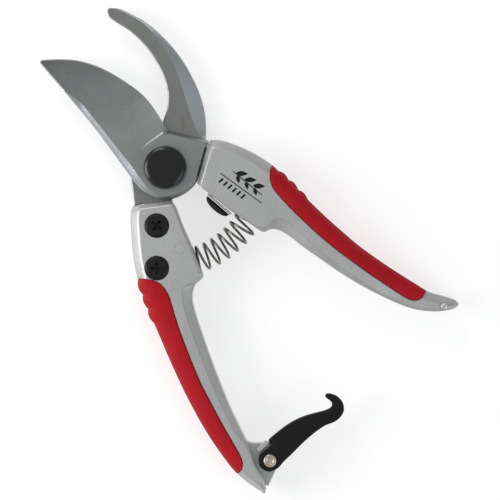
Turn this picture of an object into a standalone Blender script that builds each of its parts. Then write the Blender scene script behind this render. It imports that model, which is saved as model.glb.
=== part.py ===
"""Pruning shears: bypass blade, hooked counter blade, coil return spring, thumb catch.

Blender works in metres, so every size below is in millimetres and is turned
into metres when a mesh is made. The shears lie on their back, blades along +Y,
and stand open against the spring. The pivot axis is Z through the origin.
"""
import math

import bmesh
import bpy
from mathutils import Matrix, Vector

MM = 0.001
GAP = 0.3

# ---- driving sizes, mm ----
PLATE_BACK = 4.2
HOOK_FACE = 7.85
BLADE_BACK = 8.15
BOSS_FACE = 12.2
HANDLE_FACE = 16.0
MID = 8.0
CHAMFER = 3.4
GRIP_SKIN = 1.8
GRIP_PROUD = 0.35
BOLT_R = 3.8
BORE_R = 4.1
SPRING_ARC_R = 38.8
SPRING_COIL_R = 5.1
SPRING_WIRE_R = 0.5
SPRING_TURNS = 8.0
SPRING_START = -115.2
SPRING_END = -68.6
POCKET_R = 6.0
HOOK_AXIS = -113.0
BLADE_AXIS = -66.0
CATCH_PIN = (-42.9, -115.9)
CATCH_Z = (11.0, 14.0)
LUG_Z = (5.0, 9.9)

# ---- scene ----
for old in list(bpy.data.objects):
    bpy.data.objects.remove(old, do_unlink=True)
parts = bpy.data.collections.new("pruning_shears")
cutters = bpy.data.collections.new("cutters")
bpy.context.scene.collection.children.link(parts)
bpy.context.scene.collection.children.link(cutters)


def material(name, colour, metallic, roughness):
    made = bpy.data.materials.new(name)
    made.use_nodes = True
    shader = made.node_tree.nodes["Principled BSDF"]
    shader.inputs["Base Color"].default_value = (*colour, 1.0)
    shader.inputs["Metallic"].default_value = metallic
    shader.inputs["Roughness"].default_value = roughness
    made.diffuse_color = (*colour, 1.0)
    return made


def finish(name, bm, look, pivot=(0.0, 0.0), cutter=False):
    """One object from a mesh in mm. Its origin is put at pivot, on z = 0."""
    bmesh.ops.remove_doubles(bm, verts=bm.verts, dist=0.002)
    bmesh.ops.dissolve_degenerate(bm, edges=bm.edges, dist=0.001)
    bmesh.ops.recalc_face_normals(bm, faces=bm.faces)
    bm.transform(Matrix.Translation((-pivot[0], -pivot[1], 0.0)))
    bm.transform(Matrix.Scale(MM, 4))
    mesh = bpy.data.meshes.new(name)
    bm.to_mesh(mesh)
    bm.free()
    made = bpy.data.objects.new(name, mesh)
    made.location = (pivot[0] * MM, pivot[1] * MM, 0.0)
    if cutter:
        cutters.objects.link(made)
        made.hide_render = True
        made.display_type = "WIRE"
    else:
        parts.objects.link(made)
        mesh.materials.append(look)
    return made


def boolean(target, other, operation):
    step = target.modifiers.new(other.name, "BOOLEAN")
    step.operation = operation
    step.object = other
    step.solver = "EXACT"


def cut(target, *others):
    for other in others:
        boolean(target, other, "DIFFERENCE")


def join(target, *others):
    for other in others:
        boolean(target, other, "UNION")


# ---- shape tools ----
def smooth_at(points, s):
    """The value at s of a smooth line through (s, value) points."""
    if s <= points[0][0]:
        return points[0][1]
    if s >= points[-1][0]:
        return points[-1][1]
    i = max(k for k in range(len(points) - 1) if points[k][0] <= s)

    def slope(k):
        a = points[max(k - 1, 0)]
        b = points[min(k + 1, len(points) - 1)]
        return (b[1] - a[1]) / (b[0] - a[0])

    width = points[i + 1][0] - points[i][0]
    u = (s - points[i][0]) / width
    rise = points[i + 1][1] - points[i][1]
    low = slope(i) * width
    high = slope(i + 1) * width
    return points[i][1] + u * (low + u * (3 * rise - 2 * low - high + u * (low + high - 2 * rise)))


def smooth_path(points, count):
    """Points spaced along a smooth curve through the given points, count to a span."""
    out = []
    for i in range(len(points) - 1):
        p0 = Vector(points[max(i - 1, 0)])
        p1 = Vector(points[i])
        p2 = Vector(points[i + 1])
        p3 = Vector(points[min(i + 2, len(points) - 1)])
        for k in range(count):
            u = k / count
            bend = (2 * p0 - 5 * p1 + 4 * p2 - p3) * u * u + (3 * p1 - p0 - 3 * p2 + p3) * u ** 3
            out.append(0.5 * (2 * p1 + (p2 - p0) * u + bend))
    out.append(Vector(points[-1]))
    return out


def local(axis, s, t):
    """Handle place to shears place: s along the handle, t to its left."""
    angle = math.radians(axis)
    x = s * math.cos(angle) - t * math.sin(angle)
    y = s * math.sin(angle) + t * math.cos(angle)
    return x, y


def rounded(corners, steps=3):
    """A flat outline from (x, y, radius) corners, each rounded by its radius."""
    out = []
    count = len(corners)
    for i in range(count):
        here = Vector(corners[i][:2])
        back = Vector(corners[i - 1][:2]) - here
        ahead = Vector(corners[(i + 1) % count][:2]) - here
        reach = min(corners[i][2], 0.45 * back.length, 0.45 * ahead.length)
        if reach < 0.05:
            out.append(here)
            continue
        a = here + back.normalized() * reach
        b = here + ahead.normalized() * reach
        for k in range(steps + 1):
            u = k / steps
            out.append((1 - u) ** 2 * a + 2 * u * (1 - u) * here + u * u * b)
    return out


def slab(outline, low, high, edge=0.0):
    """A flat plate from an outline, its front edge chamfered when edge is set."""
    bm = bmesh.new()
    levels = [(low, 0.0), (high, 0.0)]
    if edge:
        levels = [(low, 0.0), (high - edge, 0.0), (high, edge)]
    count = len(outline)
    area = sum(outline[i - 1][0] * outline[i][1] - outline[i][0] * outline[i - 1][1] for i in range(count))
    turn = 1.0 if area > 0 else -1.0
    rings = []
    for z, inset in levels:
        ring = []
        for i in range(count):
            here = Vector(outline[i][:2])
            before = (here - Vector(outline[i - 1][:2])).normalized()
            after = (Vector(outline[(i + 1) % count][:2]) - here).normalized()
            inward = Vector((-before.y - after.y, before.x + after.x))
            scale = max(0.5 * inward.length_squared, 0.25)
            place = here + inward * (turn * inset / scale)
            ring.append(bm.verts.new((place.x, place.y, z)))
        rings.append(ring)
    skin(bm, rings)
    return bm


def skin(bm, rings):
    """Faces between rings of equal count, with both ends filled."""
    count = len(rings[0])
    for a, b in zip(rings, rings[1:]):
        for i in range(count):
            j = (i + 1) % count
            bm.faces.new((a[i], a[j], b[j], b[i]))
    bm.faces.new(rings[0])
    bm.faces.new(rings[-1])


def loft(sections):
    bm = bmesh.new()
    rings = [[bm.verts.new(place) for place in section] for section in sections]
    skin(bm, rings)
    return bm


def turned(profile, place, steps=40):
    """A turned piece about Z through place from a closed (radius, z) outline."""
    bm = bmesh.new()
    rings = []
    for r, z in profile:
        count = 1 if r == 0 else steps
        angles = [2 * math.pi * k / steps for k in range(count)]
        rings.append([bm.verts.new((place[0] + r * math.cos(a), place[1] + r * math.sin(a), z)) for a in angles])
    for i, a in enumerate(rings):
        b = rings[(i + 1) % len(rings)]
        for k in range(steps if len(a) + len(b) > 2 else 0):
            j = (k + 1) % steps
            if len(a) == 1:
                bm.faces.new((a[0], b[j], b[k]))
            elif len(b) == 1:
                bm.faces.new((a[k], a[j], b[0]))
            else:
                bm.faces.new((a[k], a[j], b[j], b[k]))
    return bm


def drill(name, place, radius, low, high, steps=32):
    bm = bmesh.new()
    spot = Matrix.Translation((place[0], place[1], 0.5 * (low + high)))
    bmesh.ops.create_cone(
        bm, cap_ends=True, segments=steps, radius1=radius, radius2=radius, depth=high - low, matrix=spot
    )
    return finish(name, bm, None, cutter=True)


# ---- materials ----
cast_paint = material("silver_cast_paint", (0.55, 0.56, 0.56), 0.6, 0.38)
red_rubber = material("red_soft_grip", (0.52, 0.02, 0.04), 0.0, 0.55)
black_rubber = material("black_rubber", (0.015, 0.015, 0.016), 0.0, 0.6)
blade_steel = material("ground_blade_steel", (0.33, 0.34, 0.35), 0.9, 0.34)
hook_steel = material("satin_hook_steel", (0.32, 0.32, 0.31), 0.9, 0.38)
black_oxide = material("black_oxide_steel", (0.03, 0.03, 0.032), 0.6, 0.42)
black_plastic = material("black_cap_plastic", (0.022, 0.022, 0.02), 0.0, 0.4)
spring_steel = material("spring_wire_steel", (0.36, 0.33, 0.28), 0.9, 0.3)
rivet_steel = material("rivet_steel", (0.5, 0.46, 0.38), 0.9, 0.32)
zinc_steel = material("zinc_plated_steel", (0.6, 0.6, 0.6), 0.9, 0.3)
catch_paint = material("black_catch_paint", (0.02, 0.02, 0.02), 0.3, 0.45)

# ---- handles ----
# Each line is (s, t) along one handle: s from the pivot, t to the left of it.
HOOK_SIDE = {
    "axis": HOOK_AXIS,
    "outer": [
        (10.8, -17.2), (15, -19.1), (20, -20.4), (25, -21.5), (31, -22.7), (38, -23.4), (46, -23.3),
        (54, -22.8), (63, -21.8), (76, -20.4), (92, -18.0), (108, -14.4), (121, -10.1), (125.6, -7.9),
        (130, -5.1), (133.4, -2.5), (135.6, -0.9),
    ],
    "inner": [
        (13.5, -1.5), (16, -0.7), (23, -0.2), (31, 0.7), (38, 1.4), (43, 1.7), (45.8, 1.7), (46.8, 0.4),
        (47.9, -2.1), (50.6, -4.1), (53.3, -5.1), (58, -5.5), (66, -5.4), (80, -4.8), (90, -4.1),
        (100, -3.1), (110, -1.6), (116, -0.6), (123, -0.4), (126, 0.3), (129, 1.1), (133.5, 1.1), (135.6, 0.1),
    ],
    "grip": [
        (39.1, -23.3), (41, -18.6), (43.5, -15.6), (47.0, -14.0), (51, -13.4), (57, -13.5), (63, -13.4),
        (70, -13.0), (76.5, -12.5), (85.5, -11.6), (95.5, -9.8), (104.3, -8.1), (113.2, -6.1), (117.2, -5.2),
        (120.9, -4.9), (123.4, -5.9), (124.8, -8.0),
    ],
    "bevel": [
        (13, 0.8), (36, 1.0), (40, 1.6), (43.3, 4.2), (46.2, 6.4), (50, 4.4), (56, 4.2), (61, 4.4),
        (74, 4.0), (91, 3.4), (107, 2.6), (116, 0.9), (133, 0.8),
    ],
    "front": [(10, 16.0), (90, 16.0), (110, 15.4), (130, 14.5), (133.5, 13.0), (135.6, 11.0)],
    "back": [(10, 0.4), (95, 0.4), (115, 0.7), (130, 1.5), (133.5, 2.6), (135.6, 4.6)],
    "bumps": (39.7, 57.85),
}
BLADE_SIDE = {
    "axis": BLADE_AXIS,
    "outer": [
        (11.2, 17.8), (15, 19.4), (20, 20.3), (25, 20.6), (31, 20.5), (37.2, 19.7), (42, 18.3), (48, 16.5),
        (54, 14.3), (60, 12.3), (66, 10.4), (72, 8.7), (82, 6.1), (89, 4.8), (95, 3.9), (103, 2.9),
        (110, 2.2), (115, 1.7), (118, 1.9), (122, 2.7), (126, 3.4), (129.1, 3.1),
    ],
    "inner": [
        (14.0, 0.1), (18, -1.1), (24, -2.3), (30, -3.7), (35, -4.5), (41, -5.3), (45.6, -6.0), (47.1, -5.4),
        (48.2, -3.9), (50, -2.8), (53, -2.4), (57, -2.9), (64, -4.4), (73, -5.8), (80, -6.9), (90, -7.9),
        (100, -8.2), (110, -7.8), (115, -6.9), (120, -5.2), (125, -2.7), (129.1, 1.3),
    ],
    "grip": [
        (37.6, 19.6), (38.3, 16.6), (39.7, 13.9), (42, 11.6), (45.9, 9.7), (52, 7.3), (60, 4.7),
        (67, 2.6), (75, 0.7), (82, -0.6), (90, -2.0), (98, -3.1), (105, -4.0), (109.4, -4.4),
        (112.7, -3.8), (114.6, -1.8), (115.2, 1.6),
    ],
    "bevel": [
        (13, 0.8), (38, 1.0), (42, 1.8), (45, 3.4), (47, 5.2), (50.5, 4.3), (55, 4.1), (60, 3.6),
        (65, 2.9), (72, 2.4), (86, 1.9), (100, 1.2), (129, 1.0),
    ],
    "front": [
        (10, 16.0), (70, 16.0), (80, 15.0), (95, 12.8), (107, 10.4), (112, 10.2), (124, 10.2),
        (127, 9.6), (129.1, 8.6),
    ],
    "back": [(10, 0.4), (95, 0.4), (112, 0.7), (122, 1.3), (127, 2.4), (129.1, 4.0)],
    "bumps": (41.2, 56.65),
}


def station(side, s_outer, s_inner):
    """The handle's outline across one line: places, width and heights."""
    outer = Vector((s_outer, smooth_at(side["outer"], s_outer)))
    inner = Vector((s_inner, smooth_at(side["inner"], s_inner)))
    middle = 0.5 * (s_outer + s_inner)
    return {
        "outer": outer,
        "across": (inner - outer).normalized(),
        "width": (inner - outer).length,
        "bevel": smooth_at(side["bevel"], s_inner),
        "front": smooth_at(side["front"], middle),
        "back": smooth_at(side["back"], middle),
        "grip": grip_width(side, s_outer),
        "s": s_outer,
    }


def grip_width(side, s):
    if s <= side["grip"][0][0] or s >= side["grip"][-1][0]:
        return 0.0
    return abs(smooth_at(side["grip"], s) - smooth_at(side["outer"], s))


def envelope(line, d):
    """Front and back heights of the outer chamfer at d from the outer edge."""
    drop = CHAMFER * max(0.0, 1.0 - d / CHAMFER)
    half = 0.5 * (line["front"] - line["back"])
    drop = min(drop, half - 1.2)
    return line["front"] - drop, line["back"] + drop


def ring_in_place(side, line, section):
    out = []
    for d, z in section:
        flat = line["outer"] + line["across"] * d
        x, y = local(side["axis"], flat.x, flat.y)
        out.append((x, y, z))
    return out


def handle_section(line, shrink=0.0):
    """Closed (d, z) outline of a handle, stepped in where the grip sits."""
    front, back = line["front"] - shrink, line["back"] + shrink
    grip = line["grip"] + GAP if line["grip"] else 0.0
    top, low = envelope(line, grip)
    top, low = top - shrink, low + shrink
    ridge = max(CHAMFER, grip)
    shelf = min(GRIP_SKIN + GAP, grip)
    sink = GRIP_SKIN + GAP if line["grip"] else 0.0
    rim_top, rim_low = envelope(line, line["grip"])
    step_top = max(min(rim_top, front) - sink, MID + 0.8) if sink else top
    step_low = min(max(rim_low, back) + sink, MID - 0.8) if sink else low
    bevel = min(line["bevel"], 0.45 * (line["width"] - ridge) + 0.2)
    drop = min(0.85 * bevel, 0.5 * (front - back) - 1.0)
    width = line["width"]
    return [
        (shelf, step_low), (shelf, step_top), (grip, step_top), (grip, top), (ridge, front),
        (width - bevel, front), (width, front - drop), (width, back + drop), (width - bevel, back),
        (ridge, back), (grip, low), (grip, step_low),
    ]


def handle_body(name, side, places):
    """The bare casting: chamfered outside, bevelled inside, recessed for its grip."""
    sections = []
    for k, (s_outer, s_inner) in enumerate(places):
        line = station(side, s_outer, s_inner)
        shrink = 1.5 if k == 0 else 0.0
        sections.append(ring_in_place(side, line, handle_section(line, shrink)))
    return finish(name, loft(sections), cast_paint)


def grip_bump(side, s):
    first, last = side["bumps"]
    if not first < s < last:
        return 0.0
    return 0.8 * abs(math.sin(3 * math.pi * (s - first) / (last - first)))


def grip_section(side, line):
    """Closed C-shaped (d, z) outline of the soft grip round the handle's outside."""
    width = line["grip"]
    bump = grip_bump(side, line["s"])
    half = 0.5 * (line["front"] - line["back"])
    middle = 0.5 * (line["front"] + line["back"])
    reach = 6.0
    outside = []
    for k in range(5):
        share = 1.0 - k / 4
        d = width * share * share
        u = min(d / reach, 1.0)
        height = (half + GRIP_PROUD) * math.sqrt(1 - (1 - u) ** 2) ** 0.6
        height = max(height, 0.35 * half * (1 - share))
        outside.append((d - bump * (1 - min(d / 4.0, 1.0)), height))
    outside[-1] = (outside[-1][0], 0.42 * half)
    top = envelope(line, width)[0] - GRIP_SKIN
    top = min(top, middle + outside[0][1] - 0.8)
    shelf = min(GRIP_SKIN, 0.85 * width)
    inside_top = max(min(top, line["front"] - GRIP_SKIN), MID + 1.1 + GAP)
    low = max(2 * middle - inside_top, line["back"] + GRIP_SKIN)
    low = min(low, MID - 1.1 - GAP)
    ring = [(d, middle + h) for d, h in outside]
    ring += [(d, middle - h) for d, h in reversed(outside)]
    ring += [(width, low), (shelf, low), (shelf, inside_top), (width, inside_top)]
    return ring


def handle_grip(name, side, places):
    sections = []
    for s in places:
        line = station(side, s, s)
        sections.append(ring_in_place(side, line, grip_section(side, line)))
    return finish(name, loft(sections), red_rubber)


def grip_ends(side):
    """Lines across both ends of the grip, where its edge turns quickly."""
    first, last = side["grip"][0][0], side["grip"][-1][0]
    out = [first + step for step in (0.3, 0.9, 1.9, 3.4, 5.2, 7.2, 9.5, 12.5)]
    return out + [last - step for step in (7.0, 4.0, 2.2, 1.0, 0.35)]


def body_places(side, head, nose, run, tail):
    """Lines across a handle: slanted at the head, square to it further down."""
    first, last = side["grip"][0][0], side["grip"][-1][0]
    out = set(nose + run + tail + grip_ends(side) + [first - 0.1, last + 0.1])
    return head + [(s, s) for s in sorted(out)]


def grip_places(side):
    start, stop = side["bumps"]
    pitch = (stop - start) / 3
    out = set(grip_ends(side))
    for k in range(3):
        out |= {start + pitch * (k + u) for u in (0.02, 0.12, 0.35, 0.65, 0.88)}
    out |= {stop - 0.05}
    out |= {s for s in (63, 70, 77, 84, 91, 98, 105) if stop + 1 < s < side["grip"][-1][0] - 8}
    first, last = side["grip"][0][0], side["grip"][-1][0]
    return sorted(s for s in out if first + 0.25 < s < last - 0.3)


hook_handle = handle_body("hook_handle", HOOK_SIDE, body_places(
    HOOK_SIDE,
    [(10.8, 13.5), (12.4, 15.0), (18, 19), (24, 24), (30, 30), (35, 35)],
    [45.8, 46.4, 46.9, 47.9, 50.6, 54.5],
    [57.8, 63, 70, 77, 84, 91, 98, 105, 112],
    [128, 130, 132, 133.5, 134.9, 135.6],
))
blade_handle = handle_body("blade_handle", BLADE_SIDE, body_places(
    BLADE_SIDE,
    [(11.2, 14.2), (12.8, 15.7), (18, 19.4), (24, 24), (30, 30), (34, 34)],
    [45.6, 46.4, 48.2, 53.0],
    [57, 63, 70, 77, 84, 91, 98],
    [118, 121, 124, 126.4, 128.2, 129.1],
))
hook_grip = handle_grip("hook_handle_grip", HOOK_SIDE, grip_places(HOOK_SIDE))
blade_grip = handle_grip("blade_handle_grip", BLADE_SIDE, grip_places(BLADE_SIDE))

# Lug and stop pad for the catch, cast in one with the hook handle.
lug_outline = [
    (112, -4, 0), (115.5, 1.6, 0.8), (116.9, 8.0, 1.2), (122.5, 9.6, 2.0), (127.6, 7.4, 1.2),
    (133.4, 2.2, 0.4), (131, -2, 0),
]
lug_outline = [(*local(HOOK_AXIS, s, t), r) for s, t, r in lug_outline]
lug = finish("lug_form", slab(rounded(lug_outline), LUG_Z[0], LUG_Z[1], 0.4), None, cutter=True)
pad_centre = Vector(local(HOOK_AXIS, 117.3, 4.6))
pad_angle = math.radians(1.0)
pad_outline = []
for along, aside in ((-2.6, -0.9), (2.6, -0.9), (2.6, 0.9), (-2.6, 0.9)):
    spot = pad_centre + Matrix.Rotation(pad_angle, 2) @ Vector((along, aside))
    pad_outline.append((spot.x, spot.y, 0.3))
stop_pad = finish("stop_pad_form", slab(rounded(pad_outline, 2), LUG_Z[1] - 1.0, 13.4, 0.3), None, cutter=True)
join(hook_handle, lug, stop_pad)
cut(hook_handle, drill("catch_clearance", CATCH_PIN, 5.4, LUG_Z[1] + 0.1, 17.0))
cut(hook_handle, drill("catch_pin_hole", CATCH_PIN, 1.9, 2.0, 12.0, 20))

# Nib pressed in near the end of the blade handle, which the catch hooks over.
nib_place = local(BLADE_AXIS, 123.9, -1.0)
nib_form = turned([(0, 6.2), (1.3, 6.2), (1.3, 13.2), (1.0, 13.6), (0, 13.6)], nib_place, 20)
finish("catch_nib", nib_form, zinc_steel, pivot=nib_place)
cut(blade_handle, drill("catch_nib_hole", nib_place, 1.45, 6.0, 12.0, 20))

# Slots for the blade tangs.
TANG_HALF = 5.4
SCREW_A = (-17.3, -15.7)
SCREW_B = (-28.1, -28.6)
tang_down = (Vector(SCREW_B) - Vector(SCREW_A)).normalized()
tang_side = Vector((-tang_down.y, tang_down.x))


def tang_spot(down, side):
    spot = Vector(SCREW_A) + tang_down * down + tang_side * side
    return spot.x, spot.y


slot_outline = [tang_spot(-20, -5.7), tang_spot(23.3, -5.7), tang_spot(23.3, 5.7), tang_spot(-20, 5.7)]
hook_slot = finish("hook_slot", slab(slot_outline, 3.9, 8.15), None, cutter=True)
BLADE_TANG_T = 8.7
slot_outline = [local(BLADE_AXIS, s, BLADE_TANG_T + t) for s, t in ((2, -5.7), (44.3, -5.7), (44.3, 5.7), (2, 5.7))]
blade_slot = finish("blade_slot", slab(slot_outline, 7.85, 12.5), None, cutter=True)
cut(hook_handle, hook_slot)
cut(blade_handle, blade_slot)


def spring_place(angle, turn):
    """A point of the coil: angle round the pivot, turn round the coil's own line."""
    a = math.radians(angle)
    out = SPRING_ARC_R + SPRING_COIL_R * math.cos(turn)
    return Vector((out * math.cos(a), out * math.sin(a), MID - SPRING_COIL_R * math.sin(turn)))


def pocket(name, angle, inward):
    """A round recess that takes the spring's end."""
    a = math.radians(angle)
    centre = Vector((SPRING_ARC_R * math.cos(a), SPRING_ARC_R * math.sin(a), MID))
    run = Vector((-math.sin(a), math.cos(a), 0.0)) * inward
    turn = run.to_track_quat("Z", "Y").to_matrix().to_4x4()
    bm = bmesh.new()
    spot = Matrix.Translation(centre - run * 3.4) @ turn
    bmesh.ops.create_cone(bm, cap_ends=True, segments=32, radius1=POCKET_R, radius2=POCKET_R, depth=14.0, matrix=spot)
    return finish(name, bm, None, cutter=True)


cut(hook_handle, pocket("hook_pocket", SPRING_START + 0.0, -1.0))
cut(blade_handle, pocket("blade_pocket", SPRING_END - 0.0, 1.0))

# ---- tang screws ----
HEAD_R = 4.7
BLADE_SCREWS = (local(BLADE_AXIS, 21.0, BLADE_TANG_T), local(BLADE_AXIS, 36.5, BLADE_TANG_T))


def screw(name, place, top, foot, up, look):
    """A pan-head screw with a cross recess. up is 1 for one driven from the front."""
    height = 1.7
    inner = top - up * height
    profile = [(0, foot), (1.9, foot), (1.9, inner), (HEAD_R, inner), (HEAD_R, top - up * 0.7)]
    profile += [(HEAD_R - 0.25, top - up * 0.3), (HEAD_R - 0.9, top), (0, top)]
    made = finish(name, turned(profile, place, 32), look, pivot=place)
    for k, angle in enumerate((20.0, 110.0)):
        turn = Matrix.Rotation(math.radians(angle), 2)
        corners = [(-2.1, -0.45), (2.1, -0.45), (2.1, 0.45), (-2.1, 0.45)]
        outline = [Vector(place) + turn @ Vector(c) for c in corners]
        low, high = sorted((top - up * 1.1, top + up * 1.0))
        cut(made, finish(f"{name}_cross_{k}", slab(outline, low, high), None, cutter=True))
    return made


for name, place in (("upper", SCREW_A), ("lower", SCREW_B)):
    screw(f"hook_handle_screw_{name}", place, 16.3, 1.8, 1.0, black_oxide)
    cut(hook_handle, drill(f"hook_screw_bore_{name}", place, 2.2, 1.3, 20.0, 20))
    cut(hook_handle, drill(f"hook_screw_seat_{name}", place, HEAD_R + GAP, 14.3, 20.0))
for name, place in zip(("upper", "lower"), BLADE_SCREWS):
    screw(f"blade_handle_screw_{name}", place, 0.5, 13.6, -1.0, zinc_steel)
    cut(blade_handle, drill(f"blade_screw_bore_{name}", place, 2.2, -3.0, 14.2, 20))
    cut(blade_handle, drill(f"blade_screw_seat_{name}", place, HEAD_R + GAP, -3.0, 2.5))

# ---- hook blade ----
HOOK_OUTER = [
    (24.6, 63.3), (27.2, 60.3), (29.7, 54.7), (31.7, 49.0), (32.9, 42.1), (33.3, 35.0), (32.9, 28.0),
    (31.6, 21.3), (29.8, 14.8), (27.3, 9.0), (24.2, 3.9), (20.6, -0.6),
]
HOOK_INNER = [
    (22.4, 63.4), (21.5, 60.8), (22.6, 57.0), (24.3, 51.7), (25.1, 45.7), (25.1, 40.2), (24.3, 34.2),
    (23.0, 28.9), (21.1, 24.5), (18.8, 21.0), (15.6, 17.8), (11.0, 15.0),
]
HOOK_BEVEL = [
    (0, 0.6), (1, 0.9), (2, 1.0), (3, 1.4), (4, 2.5), (5, 3.6), (6, 4.5), (7, 5.5), (8, 6.6), (9, 7.0),
    (10, 6.0), (11, 3.0),
]


def blade_form(name, outer, inner, section, count):
    a = smooth_path(outer, count)
    b = smooth_path(inner, count)
    rings = []
    for k, (p, q) in enumerate(zip(a, b)):
        across = (q - p).normalized()
        ring = []
        for d, z in section(k / count, (q - p).length):
            spot = p + across * d
            ring.append((spot.x, spot.y, z))
        rings.append(ring)
    return loft(rings)


def hook_section(k, width):
    bevel = min(smooth_at(HOOK_BEVEL, k), 0.8 * width)
    fall = min(0.9 + 0.35 * bevel, 2.4)
    return [(0, PLATE_BACK), (0, HOOK_FACE - fall), (bevel, HOOK_FACE), (width, HOOK_FACE), (width, PLATE_BACK)]


hook_form = blade_form("hook_form", HOOK_OUTER, HOOK_INNER, hook_section, 2)
hook_blade = finish("hook_blade", hook_form, hook_steel)
plate = [(20.4, -1.0, 0), (19.2, 3.0, 2), (19.2, 8.0, 2), (17.0, 13.0, 2), (12.5, 15.5, 1), (8.0, 13.4, 2)]
plate += [(0, 13.2, 4), (-8.6, 9.8, 4), (-13.0, 6.6, 1), (-16.0, 1.6, 3), (-19.4, -3.5, 0.3)]
plate += [(*tang_spot(-9.0, -TANG_HALF), 0), (*tang_spot(23.0, -TANG_HALF), 1.5)]
plate += [(*tang_spot(23.0, TANG_HALF), 1.5), (*tang_spot(-10.6, TANG_HALF), 0), (-7.3, -12.4, 0.3)]
plate += [(-5.9, -11.2, 1), (0.0, -12.2, 3), (6.4, -11.0, 3), (10.4, -7.4, 3), (12.4, -2.6, 2), (17.0, -3.4, 1)]
plate_form = finish("hook_plate", slab(rounded(plate), PLATE_BACK, HOOK_FACE), None, cutter=True)
join(hook_blade, plate_form)
cut(hook_blade, drill("hook_bore", (0, 0), BORE_R, 0.0, 20.0))
cut(hook_blade, drill("hook_washer_seat", (0, 0), 7.3, 7.05, 12.0))
for name, place in (("upper", SCREW_A), ("lower", SCREW_B)):
    cut(hook_blade, drill(f"hook_tang_hole_{name}", place, 2.2, 0.0, 20.0, 20))

# ---- cutting blade ----
BLADE_SPINE = [
    (-11.5, 63.6), (-11.5, 57.0), (-11.4, 50.0), (-11.3, 40.0), (-11.5, 28.5), (-12.5, 16.5), (-13.0, 7.0),
    (-12.4, 0.8),
]
BLADE_EDGE = [
    (-10.3, 64.7), (-4.0, 59.9), (1.6, 54.2), (6.5, 46.0), (10.2, 35.5), (11.9, 26.0), (11.0, 17.0),
    (10.4, 11.0),
]


def blade_section(k, width):
    """Flat back, bevelled spine, hollow-ground front down to a fine edge."""
    spine = 10.2 + 0.9 * min(k / 3, 1)
    bevel = min(0.12 * width + 0.3, 2.2)
    root = max(0.0, (k - 5) / 2)
    low = 8.5 + 0.5 * root
    top = spine + 0.7 * root
    span = width - bevel
    points = [(0, BLADE_BACK), (0, top - 1.0), (bevel, top)]
    for u in (0.35, 0.7):
        sag = 0.35 * math.sin(math.pi * u) * min(width / 15, 1)
        points.append((bevel + span * u, top + (low - top) * u - sag))
    points.append((width, low))
    points.append((width, BLADE_BACK))
    return points


blade_loft = blade_form("blade_loft", BLADE_SPINE, BLADE_EDGE, blade_section, 2)
cutting_blade = finish("cutting_blade", blade_loft, blade_steel)
seam_top = local(BLADE_AXIS, 10.8, 17.4)
seam_low = local(BLADE_AXIS, 13.8, 1.2)
boss = [(10.2, 10.6, 0.6), (*seam_top, 0.4), (*local(BLADE_AXIS, 12.0, BLADE_TANG_T + TANG_HALF), 0)]
boss += [(*local(BLADE_AXIS, 44.0, BLADE_TANG_T + TANG_HALF), 1.5)]
boss += [(*local(BLADE_AXIS, 44.0, BLADE_TANG_T - TANG_HALF), 1.5)]
boss += [(*local(BLADE_AXIS, 13.0, BLADE_TANG_T - TANG_HALF), 0), (*seam_low, 0.5)]
boss += [(11.2, -9.1, 3), (7.0, -12.0, 1.2), (3.2, -12.9, 2), (-3.2, -12.7, 4), (-8.4, -9.4, 4), (-11.6, -4.2, 4)]
boss += [(-12.5, 1.6, 3), (-5.6, 12.2, 0.5)]
boss_form = finish("boss_form", slab(rounded(boss), BLADE_BACK, BOSS_FACE, 0.7), None, cutter=True)
join(cutting_blade, boss_form)
cut(cutting_blade, drill("blade_bore", (0, 0), BORE_R, 0.0, 20.0))
cut(cutting_blade, drill("blade_washer_seat", (0, 0), 7.3, 5.0, 8.6))
for name, place in zip(("upper", "lower"), BLADE_SCREWS):
    cut(cutting_blade, drill(f"blade_tang_hole_{name}", place, 2.2, 0.0, 20.0, 20))

# ---- pivot ----
bolt = [(0, 0.0), (7.1, 0.0), (7.5, 0.5), (7.5, 3.0), (BOLT_R, 3.0), (BOLT_R, 16.1), (3.4, 16.5), (0, 16.5)]
finish("pivot_bolt", turned(bolt, (0, 0)), zinc_steel)


def washer(name, place, hole, rim, low, high, look, pivot=(0.0, 0.0)):
    return finish(name, turned([(hole, low), (rim, low), (rim, high), (hole, high)], place), look, pivot=pivot)


washer("pivot_back_washer", (0, 0), BORE_R, 7.0, 3.3, 3.9, zinc_steel)
washer("pivot_friction_washer", (0, 0), BORE_R, 7.0, 7.35, 8.3, rivet_steel)
washer("pivot_washer", (0, 0), BORE_R, 6.5, 12.5, 13.1, zinc_steel)
spring_washer = washer("pivot_spring_washer", (0, 0), BORE_R, 6.3, 13.4, 13.9, black_oxide)
split = slab([(3.0, -0.5), (7.5, 0.1), (7.5, 0.9), (3.0, 0.3)], 12.0, 15.0)
cut(spring_washer, finish("washer_split", split, None, cutter=True))
nut_outline = [(6.6 * math.cos(math.radians(60 * k)), 6.6 * math.sin(math.radians(60 * k))) for k in range(6)]
nut = finish("pivot_nut", slab(nut_outline, 14.2, 16.2, 0.3), zinc_steel)
cut(nut, drill("nut_bore", (0, 0), BORE_R, 12.0, 18.0))
cap = [(6.95, 12.5), (8.55, 12.5), (8.6, 12.9), (7.75, 17.1), (7.5, 17.45), (7.0, 17.6), (0, 17.6)]
cap += [(0, 16.8), (6.95, 16.8)]
finish("pivot_cap", turned(cap, (0, 0), 56), black_plastic)

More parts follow.
